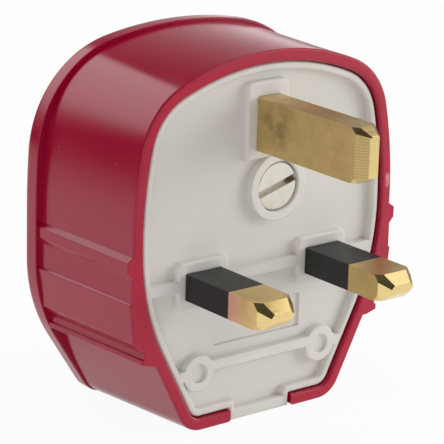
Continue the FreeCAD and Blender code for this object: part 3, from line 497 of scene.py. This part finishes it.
class Graph:
    """The nodes of a material or of the world."""

    def __init__(self, tree):
        self.tree = tree

    def node(self, kind, facts, *values, output=None):
        """Adds a node: its settings first, then its values or links in socket order.

        It gives the first output in use, or the one of a name, or a list for a list of names.
        """
        made = self.tree.nodes.new(kind)
        for fact, setting in facts.items():
            if fact == "stops":
                marks = made.color_ramp.elements
                for _ in setting[2:]:
                    marks.new(0.5)
                for mark, (place, level) in zip(marks, setting):
                    mark.position, mark.color = place, (level, level, level, 1.0)
            else:
                setattr(made, fact, setting)
        sockets = [socket for socket in made.inputs if socket.enabled]
        for socket, given in zip(sockets, values):
            if isinstance(given, Wire):
                self.tree.links.new(given.socket, socket)
            elif given is not None:
                socket.default_value = given
        if isinstance(output, list):
            return [Wire(self, made.outputs[name]) for name in output]
        if output:
            return Wire(self, made.outputs[output])
        return Wire(self, next(socket for socket in made.outputs if socket.enabled))

    def place(self):
        """The place on the object itself."""
        return self.node("ShaderNodeTexCoord", {}, output="Object")

    def split(self, vector):
        """The three parts of a vector."""
        return self.node("ShaderNodeSeparateXYZ", {}, vector, output=["X", "Y", "Z"])

    def ramp(self, value, stops):
        """A grey that follows a value through pairs of value and level."""
        low, high = stops[0][0], stops[-1][0]
        share = self.node("ShaderNodeMapRange", {}, value, low, high, 0.0, 1.0)
        marks = [((at - low) / (high - low), level) for at, level in stops]
        return self.node("ShaderNodeValToRGB", {"stops": marks}, share)

    def seen_by_rays(self, plain, strength, gloss):
        """White to the camera and glass, another level in gloss, and plain elsewhere."""
        names = ["Is Camera Ray", "Is Transmission Ray", "Is Glossy Ray"]
        camera, glass, mirror = self.node("ShaderNodeLightPath", {}, output=names)
        glow = self.node("ShaderNodeEmission", {}, gloss)
        white = self.node("ShaderNodeEmission", {}, WHITE)
        shown = self.node("ShaderNodeMixShader", {}, mirror, plain, glow)
        return self.node("ShaderNodeMixShader", {}, camera.most(glass) * strength, shown, white)

    def show(self, shader, output):
        """Gives a shader to the surface of an output node."""
        self.tree.links.new(shader.socket, self.tree.nodes[output].inputs["Surface"])


class Finish(Graph):
    """One material, made of a Principled shader and the nodes that feed it."""

    def __init__(self, name, **constants):
        self.material = bpy.data.materials.new(name)
        self.material.use_nodes = True
        super().__init__(self.material.node_tree)
        self.shader = self.tree.nodes["Principled BSDF"]
        for socket, number in constants.items():
            self.shader.inputs[socket.replace("_", " ")].default_value = number
        self.spot = self.place()
        across, depth, height = self.split(self.spot)
        self.across = across
        self.depth = depth - FACE
        self.height = height - LINE_LEVEL

    def noise(self, scale, detail=3.0, roughness=0.5, stretch=(1.0, 1.0, 1.0)):
        """Noise on the object's own place, scaled by stretch along each axis first."""
        place = self.node("ShaderNodeVectorMath", {"operation": "MULTIPLY"}, self.spot, stretch)
        facts = {"noise_dimensions": "3D"}
        return self.node("ShaderNodeTexNoise", facts, place, scale, detail, roughness)

    def mix(self, factor, first, second):
        """The first colour where the factor is 0 and the second where it is 1."""
        return self.node(
            "ShaderNodeMix", {"data_type": "RGBA"}, factor, rgba(first), rgba(second)
        )

    def bump(self, height, strength, distance, edge=0.0):
        """A normal that follows a height, and turns softly over edges of a given radius."""
        soft = self.node("ShaderNodeBevel", {"samples": 8}, edge) if edge > 0 else None
        return self.node("ShaderNodeBump", {}, strength, distance, None, height, soft)

    def oval(self, middle, reach):
        """How far a spot lies from a place (across, depth, height), in reaches, squared.

        A reach of 0 leaves that direction out.
        """
        parts = (self.across, self.depth, self.height)
        steps = [(part - at) / far for part, at, far in zip(parts, middle, reach) if far]
        total = steps[0] * steps[0]
        for step in steps[1:]:
            total = total + step * step
        return total

    def feed(self, **inputs):
        """Feeds wires into the shader's sockets and gives the material back."""
        for socket, given in inputs.items():
            self.tree.links.new(given.socket, self.shader.inputs[socket.replace("_", " ")])
        return self.material


def rgba(colour):
    """A colour with full opacity, or the wire as it is."""
    return colour if isinstance(colour, Wire) else (*colour[:3], 1.0)


def shade(colour, factor):
    """A colour made darker or lighter by a factor."""
    return tuple(min(part * factor, 1.0) for part in colour)


def cover_plastic():
    """Gloss red; the rim's front is finely matt, and the mould leaves faint waves and specks."""
    red, rim = settings("tints").cover, settings("tints").rim
    nick_place, nick_reach = (23.2 * MM, 0.0, 10.1 * MM), (0.45 * MM, 0.0, 1.2 * MM)
    finish = Finish("cover_plastic", IOR=1.5)
    at_rim = 1.0 - finish.depth.above(0.1 * MM - settings("cover").proud, 0.07 * MM)
    cloud = finish.noise(90.0)
    grain = finish.noise(5200.0, detail=2.0)
    waves = finish.noise(160.0, detail=1.0)
    specks = finish.noise(1300.0, detail=0.0).above(0.84, 0.02)
    colour = finish.mix(cloud, shade(red, 0.9), shade(red, 1.08))
    colour = finish.mix(at_rim, colour, rim)
    colour = finish.mix(specks * 0.16, colour, shade(rim, 1.6))
    away = finish.oval(nick_place, nick_reach)
    nicks = finish.noise(1500.0, stretch=(1.0, 1.0, 0.5)).above(0.4, 0.15)
    nicked = at_rim * (1.0 - away.above(0.8, 0.5)) * nicks
    colour = finish.mix(nicked * 0.7, colour, settings("tints").nick)
    rough = 0.17 + cloud * 0.05 + at_rim * 0.3 + specks * 0.2
    relief = finish.bump(waves * 0.6 + grain * at_rim * 0.5, 0.12, 0.1 * MM)
    return finish.feed(Base_Color=colour, Roughness=rough, Normal=relief)


def base_plastic():
    """Satin warm white with a fine mould grain, and painted shade where it lies deep in the recess.
    """
    white = settings("tints").base
    recess, soft_edge = 1.0 * MM, 0.35 * MM
    finish = Finish("base_plastic", IOR=1.48)
    cloud = finish.noise(140.0, detail=4.0)
    grain = finish.noise(4200.0, detail=2.0)
    low = finish.depth.above(recess, 0.15 * MM)
    # Painted shade: the white is mixed a little darker where the base lies deeper than the recess
    # level.
    colour = finish.mix(cloud * 0.6 + low * 0.25, white, shade(white, 0.9))
    rough = 0.4 + cloud * 0.1 + low * 0.06
    relief = finish.bump(grain + cloud * 2.0, 0.1, 0.05 * MM, soft_edge)
    return finish.feed(Base_Color=colour, Roughness=rough, Normal=relief)


def sleeve_plastic():
    """Satin black with fine drag marks along the pin."""
    black = settings("tints").sleeve
    finish = Finish("sleeve_plastic", IOR=1.5)
    drag = finish.noise(1500.0, detail=3.0, stretch=(1.0, 0.12, 1.0))
    dust = finish.noise(2600.0, detail=2.0).above(0.66, 0.06)
    colour = finish.mix(drag * 0.7, shade(black, 0.8), shade(black, 1.5))
    colour = finish.mix(dust * 0.18, colour, shade(black, 5.0))
    rough = 0.36 + drag * 0.2 + dust * 0.1
    return finish.feed(
        Base_Color=colour, Roughness=rough, Normal=finish.bump(drag, 0.15, 0.04 * MM)
    )


def pin_brass(name, tip, cut_reach, patina=False, scuffed=None):
    """Drawn brass: fine lines along the pin, saw lines across its cut tip, dull mottling.

    The tip is its place along Y, and the cut reaches some way from it. Patina adds a dull
    patch by the root, and the slope behind the cut gets a painted dark reflection, rippled
    across the pin. Scuffed names a sleeve:
    pinkish scratches run across the left side of the brass next to it. The waves of both are
    sines of 15000 and 16000 radians to the metre, about one in 0.4 mm.
    """
    tints = settings("tints")
    finish = Finish(name, Metallic=1.0)
    drawn = finish.noise(2600.0, detail=4.0, stretch=(1.0, 0.05, 1.0))
    cloud = finish.noise(420.0, detail=5.0, roughness=0.62)
    saw = finish.noise(2600.0, detail=3.0, stretch=(0.12, 1.0, 0.12))
    at_tip = 1.0 - finish.depth.above(tip - FACE + cut_reach, 0.12 * MM)
    colour = finish.mix(cloud.above(0.5, 0.22) * 0.5, tints.brass, shade(tints.brass, 0.74))
    colour = finish.mix(drawn.above(0.55, 0.2) * 0.3, colour, shade(tints.brass, 1.15))
    colour = finish.mix(at_tip * (0.75 + saw * 0.25), colour, tints.cut_brass)
    rough = 0.3 + cloud * 0.14 - at_tip * 0.1
    if patina:
        patch_place, patch_reach = (0.0, -4.6 * MM, 23.0 * MM), (0.0, 4.0 * MM, 3.2 * MM)
        slope_length = 1.9 * MM
        away = finish.oval(patch_place, patch_reach)
        patch = (1.0 - away.above(0.75, 0.75)) * finish.noise(420.0).above(0.5, 0.3)
        colour = finish.mix(patch * 0.6, colour, tints.patina)
        # Painted dark reflection: the slope behind the cut is mixed towards darker brass, rippled
        # by lines across the pin.
        painted_dark_slope = 1.0 - at_tip - finish.depth.above(tip - FACE + slope_length, 0.05 * MM)
        ripples = (finish.height * 15000.0).wave().above(0.0, 0.8)
        colour = finish.mix(painted_dark_slope * (0.35 + ripples * 0.35), colour, shade(tints.brass, 0.5))
        rough = rough + patch * 0.2
    if scuffed:
        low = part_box(scuffed)[0]
        scratched = 2.0 * MM
        near = finish.depth.above(low.y - FACE - scratched, 1.6 * MM)
        side = 1.0 - finish.across.above(low.x + 0.3 * MM, 0.1 * MM)
        wobble = finish.noise(500.0) * 0.25 * MM
        scratches = ((finish.depth + wobble) * 16000.0).wave().above(-0.4, 0.5)
        colour = finish.mix(near * side * scratches, colour, tints.scuff)
    lines = drawn * (1.0 - at_tip) + saw * at_tip
    return finish.feed(
        Base_Color=colour, Roughness=rough, Normal=finish.bump(lines, 0.25, 0.03 * MM)
    )


def screw_nickel():
    """Plated head with turned rings and a dull slot, brown at one end.

    The rings are a sine of the distance from the middle, 16000 radians to the metre.
    """
    tints = settings("tints")
    low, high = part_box("cover_screw")
    across_mid, height_mid = (low.x + high.x) / 2, (low.z + high.z) / 2 - LINE_LEVEL
    slot_depth, dirt_start = 0.5 * MM, 2.1 * MM
    finish = Finish("screw_nickel", Metallic=1.0)
    across = finish.across - across_mid
    away = finish.oval((across_mid, 0.0, height_mid), (1.0, 0.0, 1.0))
    reach = finish.node("ShaderNodeMath", {"operation": "SQRT"}, away)
    rings = (reach * 16000.0).wave()
    cloud = finish.noise(700.0, detail=4.0)
    in_slot = finish.depth.above(slot_depth, 0.15 * MM)
    dirt = across.above(dirt_start, 0.4 * MM)
    colour = finish.mix(cloud.above(0.55, 0.2) * 0.4, tints.nickel, shade(tints.nickel, 0.8))
    colour = finish.mix(in_slot, colour, tints.nickel)
    colour = finish.mix(in_slot * dirt, colour, tints.slot_dirt)
    rough = 0.24 + cloud * 0.12 + in_slot * 0.25
    relief = finish.bump(rings * 0.3 + cloud, 0.2, 0.03 * MM)
    metal = 1.0 - in_slot * 0.7
    return finish.feed(Base_Color=colour, Roughness=rough, Metallic=metal, Normal=relief)


def inner_metal(name, colour, roughness):
    """Metal of the pieces inside: mottled, with light and dull spots."""
    finish = Finish(name, Metallic=1.0)
    cloud = finish.noise(800.0, detail=4.0)
    toned = finish.mix(cloud, shade(colour, 0.82), shade(colour, 1.1))
    rough = roughness + cloud * 0.15
    return finish.feed(Base_Color=toned, Roughness=rough, Normal=finish.bump(cloud, 0.1, 0.03 * MM))


def inner_dull(name, colour):
    """Ceramic or pressed fibre: matt, with a fine grain."""
    finish = Finish(name)
    grain = finish.noise(2400.0, detail=4.0)
    toned = finish.mix(grain, shade(colour, 0.85), shade(colour, 1.08))
    rough = 0.55 + grain * 0.2
    return finish.feed(Base_Color=toned, Roughness=rough, Normal=finish.bump(grain, 0.2, 0.05 * MM))


# The cover: its outlines and its forms


def rim_shape():
    """The outline at the rim: half width, top, the arcs' radii, the taper and the lower arc."""
    cover = settings("cover")
    return {
        "half": cover.rim_half_width,
        "top": cover.rim_top,
        "crown": 41.0 * MM,
        "shoulder": 10.8 * MM,
        "side": 64.0 * MM,
        "lower": 38.0 * MM,
        "corner": 4.2 * MM,
        "taper": math.radians(27.0),
        "level": 7.0 * MM,
    }


def wall_shape():
    """The outline where the wall meets the flange."""
    cover = settings("cover")
    return dict(
        rim_shape(),
        half=cover.wall_half_width,
        top=cover.wall_top,
        crown=52.0 * MM,
        shoulder=14.0 * MM,
        lower=49.0 * MM,
        taper=math.radians(30.5),
    )


def flange_shape():
    """The outline of the flange, which fills the solid's box."""
    return {
        "half": COVER_HIGH.x,
        "top": COVER_HIGH.z - LINE_LEVEL,
        "crown": 60.0 * MM,
        "shoulder": 17.0 * MM,
        "side": 130.0 * MM,
        "lower": 23.6 * MM,
        "corner": 4.2 * MM,
        "taper": math.radians(32.6),
        "level": 0.5 * MM,
    }


def wall_plan(inset, depth):
    """The cover's wall: the rim's outline runs in straight lines to the wall's end."""
    cover = settings("cover")
    share = (depth + cover.proud) / (cover.flange_front + cover.proud)
    share = min(max(share, 0.0), 1.0)
    return (1 - share) * plug_plan(rim_shape(), inset) + share * plug_plan(wall_shape(), inset)


def cover_body():
    """The cover without grips and entry: its profile goes from the hollow over rim and flange.

    The rim's roundings lie between its front and its mouth. The wall meets the flange at the
    joint, and the lip is the rounded corner of the flange's front side.
    """
    cover = settings("cover")
    front, joint, back = -cover.proud, cover.flange_front, cover.flange_back
    mouth, step = front + 2 * MM, cover.wall + cover.ledge
    lip_round, lip_inset, back_inset, wall_rings = 0.15 * MM, 1 * MM, 4 * MM, 12
    outside = rounded(
        [(cover.wall, mouth), (cover.wall, front), (0.0, front), (0.0, mouth)],
        [cover.inner_round, cover.rim_round],
    )
    walls = np.linspace(mouth, joint, wall_rings)[1:]
    inside = [(step, joint), (step, cover.seat), (cover.wall, cover.seat)]
    profile = inside + outside.tolist() + [(0.0, depth) for depth in walls]
    rings = carried(wall_plan, profile)
    flange = rounded([(0.0, joint), (0.0, back), (back_inset, back)], [cover.flange_round], steps=9)
    lip = rounded([(lip_inset, joint), (0.0, joint), (0.0, back)], [lip_round])[1:-1]
    edge = carried(steady(plug_plan, flange_shape()), np.concatenate([lip, flange[1:]]))
    return solid("cover_body", np.concatenate([rings, edge]))


def grip_section(share, side):
    """The grip cut square to the depth: 0 is its front end and 1 the flange.

    Its steps are straight runs with small arcs at the corners, and its root lies inside the wall.
    """
    cover = settings("cover")
    to_rim = 1 - share
    steps = [
        ((reach - to_rim * less) * MM, (height + to_rim * higher) * MM)
        for height, reach, less, higher in GRIP_STEPS
    ]
    half = cover.rim_half_width + share * (cover.wall_half_width - cover.rim_half_width)
    root = [(half - inset, height) for inset, height in GRIP_ROOT]
    path = [(GRIP_FOOT, steps[0][1]), *steps, *root, (GRIP_FOOT, steps[0][1])]
    return rounded(path, [cover.grip_round] * (len(path) - 2), steps=4)[:-1] * [side, 1]


def grip(side):
    """One grip, from the rim's front, where its edge is bevelled, to just inside the flange."""
    cover = settings("cover")
    start, stop = 0.02 * MM - cover.proud, cover.flange_front
    bevel, sunk, sections = 0.15 * MM, 0.3 * MM, 9
    rings = []
    for depth in [start, *np.linspace(start + bevel, stop + sunk, sections)]:
        flat = grip_section((depth - start) / (stop - start), side)
        if depth == start:
            flat = flat - [side * bevel, 0.0]
        rings.append(stood(flat, depth))
    return solid("grip", np.array(rings), fans=False)


def entry_cutter():
    """What the cord entry takes away: a slot with a round end that flares at the foot.

    The flare is a quarter circle, so that the rim's two ends are round. The slot starts
    before the face and below the foot, and runs up past the wall.
    """
    half, depth, flare = 5.8 * MM, 14.0 * MM, 0.6 * MM
    before, below, past = 3.0 * MM, 1.0 * MM, 4.2 * MM
    turn = np.linspace(0.0, math.pi / 2, 7)
    steps = [(0.0, settings("cover").wall + past)]
    steps += [(flare * (1 - math.cos(a)), flare * (1 - math.sin(a))) for a in turn]
    steps += [(flare, -below)]
    rings = []
    for grown, height in steps:
        end = arc((0.0, depth - half), half + grown, 0.0, math.pi, 33)
        front = np.array([[-half - grown, -before], [half + grown, -before]])
        flat = np.concatenate([end, front])
        rings.append(
            np.column_stack([flat[:, 0], flat[:, 1], np.full(len(flat), height - FOOT_DROP)])
        )
    return solid("entry_cutter", np.array(rings))


class PLUG_OT_cover(bpy.types.Operator):
    """Moulds the red cover with its flange, grips and cord entry"""

    bl_idname = "plug.cover"
    bl_label = "Cover"

    def execute(self, context):
        piece = cover_body()
        cut_away(piece, entry_cutter())
        for side in (1, -1):
            take_in(piece, grip(side))
        finish_piece(piece, "cover_shell", "cover", cover_plastic())
        return {"FINISHED"}


class PLUG_OT_base(bpy.types.Operator):
    """Gives the white base its finish and the soft edges of a moulding"""

    bl_idname = "plug.base"
    bl_label = "Base"

    def execute(self, context):
        edge = 0.2 * MM
        dress("base", base_plastic(), edge)
        return {"FINISHED"}


class PLUG_OT_pins(bpy.types.Operator):
    """Finishes the brass pins, their sleeves and the screw in the face"""

    bl_idname = "plug.pins"
    bl_label = "Pins"

    def execute(self, context):
        edge, screw_edge = 0.07 * MM, 0.05 * MM
        line_tip, line_cut, earth_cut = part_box("neutral_pin")[0].y, 1.8 * MM, 0.2 * MM
        dress("neutral_pin", pin_brass("neutral_brass", line_tip, line_cut), edge)
        live = pin_brass("live_brass", line_tip, line_cut, scuffed="live_sleeve")
        dress("live_pin", live, edge)
        earth = pin_brass("earth_brass", EARTH_TIP, earth_cut, patina=True)
        dress("earth_pin", earth, edge)
        black = sleeve_plastic()
        dress("neutral_sleeve", black, edge)
        dress("live_sleeve", black, edge)
        dress("cover_screw", screw_nickel(), screw_edge)
        return {"FINISHED"}


class PLUG_OT_inside(bpy.types.Operator):
    """Finishes the pieces that the shells hide: terminals, fuse, clips and cord grip"""

    bl_idname = "plug.inside"
    bl_label = "Inside"

    def execute(self, context):
        steel = inner_metal("screw_steel", (0.6, 0.58, 0.53), 0.3)
        copper = inner_metal("clip_copper", (0.62, 0.42, 0.2), 0.32)
        cap = inner_metal("cap_nickel", (0.72, 0.7, 0.65), 0.25)
        terminal = inner_metal("terminal_brass", (0.56, 0.41, 0.16), 0.35)
        ceramic = inner_dull("fuse_ceramic", (0.68, 0.66, 0.6))
        fibre = inner_dull("fibre", (0.32, 0.12, 0.06))
        groups = [
            (steel, ("earth_terminal_screw", "neutral_terminal_screw", "live_terminal_screw")),
            (steel, ("cord_grip_screw_left", "cord_grip_screw_right")),
            (copper, ("fuse_clip_lower", "fuse_clip_upper")),
            (cap, ("fuse_cap_lower", "fuse_cap_upper", "fuse_element")),
            (terminal, ("live_terminal", "cover_insert")),
            (ceramic, ("fuse_tube",)),
            (fibre, ("screw_retainer", "cord_grip_bar")),
        ]
        for material, nodes in groups:
            for node in nodes:
                dress(node, material)
        return {"FINISHED"}


# Studio


def direction(azimuth, elevation):
    """The way out from the plug at an azimuth from -Y towards +X and an elevation, in degrees."""
    around, above = math.radians(azimuth), math.radians(elevation)
    flat = math.cos(above)
    return Vector((math.sin(around) * flat, -math.cos(around) * flat, math.sin(above)))


def panel_light(name, azimuth, elevation, distance, width, height, radiance):
    """A soft panel that faces the plug; its power is radiance times its area times pi."""
    way = direction(azimuth, elevation)
    data = bpy.data.lights.new(name, "AREA")
    data.shape = "RECTANGLE"
    data.size, data.size_y = width, height
    data.energy = radiance * width * height * math.pi
    lamp = bpy.data.objects.new(name, data)
    lamp.location = Vector((0.0, 0.0, LINE_LEVEL)) + way * distance
    lamp.rotation_euler = (-way).to_track_quat("-Z", "Y").to_euler()
    bpy.context.scene.collection.objects.link(lamp)


def add_camera():
    """The photograph's camera: where it stands, where it looks and how it leans."""
    across, height = CAMERA_AIM
    aim = Vector((across, FACE, LINE_LEVEL + height))
    back = direction(*CAMERA_WAY)
    level = (-back).cross(Vector((0.0, 0.0, 1.0))).normalized()
    upright = level.cross(-back)
    right = math.cos(CAMERA_ROLL) * level + math.sin(CAMERA_ROLL) * upright
    up = math.cos(CAMERA_ROLL) * upright - math.sin(CAMERA_ROLL) * level
    data = bpy.data.cameras.new("camera")
    data.sensor_width = SENSOR
    data.lens = SENSOR * FOCAL_LENGTH / PICTURE_SIDE
    data.clip_start, data.clip_end = 0.01, 20.0
    camera = bpy.data.objects.new("camera", data)
    place = Matrix((right, up, back)).transposed().to_4x4()
    place.translation = aim + back * CAMERA_DISTANCE
    camera.matrix_world = place
    bpy.context.scene.collection.objects.link(camera)
    bpy.context.scene.camera = camera


def sheet_mesh(name, width, height, level=0.0):
    """A flat rectangle about its own origin, or at a level above it."""
    corners = np.array([(-1, -1, 0), (1, -1, 0), (1, 1, 0), (-1, 1, 0)], float)
    corners = corners * [width / 2, height / 2, 0.0] + [0.0, 0.0, level]
    mesh = bpy.data.meshes.new(name)
    mesh.from_pydata(corners.tolist(), [], [(0, 1, 2, 3)])
    return mesh


def glowing_panel(name, azimuth, elevation, distance, width, height, strength, stops):
    """A panel that faces the plug and glows by its height: stops run from its foot to its head."""
    way = direction(azimuth, elevation)
    mesh = sheet_mesh(name, width, height)
    panel = bpy.data.objects.new(name, mesh)
    turn = way.to_track_quat("Z", "Y").to_matrix().to_4x4()
    turn.translation = Vector((0.0, 0.0, LINE_LEVEL)) + way * distance
    panel.matrix_world = turn
    bpy.context.scene.collection.objects.link(panel)
    glow = bpy.data.materials.new(name)
    glow.use_nodes = True
    graph = Graph(glow.node_tree)
    graph.tree.nodes.remove(graph.tree.nodes["Principled BSDF"])
    level = graph.ramp(graph.split(graph.place())[1], [(at * height, much) for at, much in stops])
    graph.show(graph.node("ShaderNodeEmission", {}, level, strength), "Material Output")
    mesh.materials.append(glow)


class PLUG_OT_studio(bpy.types.Operator):
    """Lays the pale floor and sets the soft lights, the white surround and the camera"""

    bl_idname = "plug.studio"
    bl_label = "Studio"

    def execute(self, context):
        scene = context.scene
        scene.view_settings.view_transform = "Standard"

        mesh = sheet_mesh("floor", FLOOR_SIDE, FLOOR_SIDE, CAD_BOX[0].z)
        floor = bpy.data.objects.new("floor", mesh)
        scene.collection.objects.link(floor)
        paper = bpy.data.materials.new("floor_paper")
        paper.use_nodes = True
        graph = Graph(paper.node_tree)
        sheet = graph.tree.nodes["Principled BSDF"]
        sheet.inputs["Base Color"].default_value = rgba(settings("tints").paper_white)
        sheet.inputs["Roughness"].default_value = 0.9
        sheet.inputs["Specular IOR Level"].default_value = 0.0
        reach = {"operation": "LENGTH"}
        away = graph.node("ShaderNodeVectorMath", reach, graph.place(), output="Value")
        fade = graph.ramp(away, FLOOR_FADE)
        shown = graph.seen_by_rays(Wire(graph, sheet.outputs[0]), FLOOR_WHITE, fade)
        graph.show(shown, "Material Output")
        mesh.materials.append(paper)

        world = bpy.data.worlds.new("surround")
        world.use_nodes = True
        graph = Graph(world.node_tree)
        grey = graph.tree.nodes["Background"]
        grey.inputs["Color"].default_value = SURROUND
        shown = graph.seen_by_rays(Wire(graph, grey.outputs[0]), 1.0, SURROUND_GLOSS)
        graph.show(shown, "World Output")
        scene.world = world

        for facts, stops in GLOWING_PANELS:
            glowing_panel(*facts, stops)
        for facts in LIGHT_PANELS:
            panel_light(*facts)
        add_camera()
        return {"FINISHED"}


OPERATORS = (PLUG_OT_cover, PLUG_OT_base, PLUG_OT_pins, PLUG_OT_inside, PLUG_OT_studio)
GROUPS = {"cover": PlugCoverSizes, "tints": PlugTints}


class PLUG_PT_panel(bpy.types.Panel):
    """Lists the steps and sizes of the plug"""

    bl_idname = "PLUG_PT_panel"
    bl_label = "Three pin plug"
    bl_space_type = "VIEW_3D"
    bl_region_type = "UI"
    bl_category = "Plug"

    def draw(self, context):
        for operator in OPERATORS:
            self.layout.operator(operator.bl_idname)
        for kind, group in GROUPS.items():
            box = self.layout.box()
            box.label(text=kind.capitalize())
            for name in group.__annotations__:
                box.prop(settings(kind), name)


def register():
    """Adds the groups, steps and panel."""
    for kind, group in GROUPS.items():
        bpy.utils.register_class(group)
        setattr(bpy.types.Scene, f"plug_{kind}", bpy.props.PointerProperty(type=group))
    for made in (*OPERATORS, PLUG_PT_panel):
        bpy.utils.register_class(made)


def unregister():
    """Takes the groups, steps and panel away."""
    for made in (PLUG_PT_panel, *reversed(OPERATORS)):
        bpy.utils.unregister_class(made)
    for kind, group in GROUPS.items():
        delattr(bpy.types.Scene, f"plug_{kind}")
        bpy.utils.unregister_class(group)


def main():
    """Builds the pieces in order."""
    register()
    for operator in OPERATORS:
        group, step = operator.bl_idname.split(".")
        getattr(getattr(bpy.ops, group), step)()


if __name__ == "__main__":
    main()
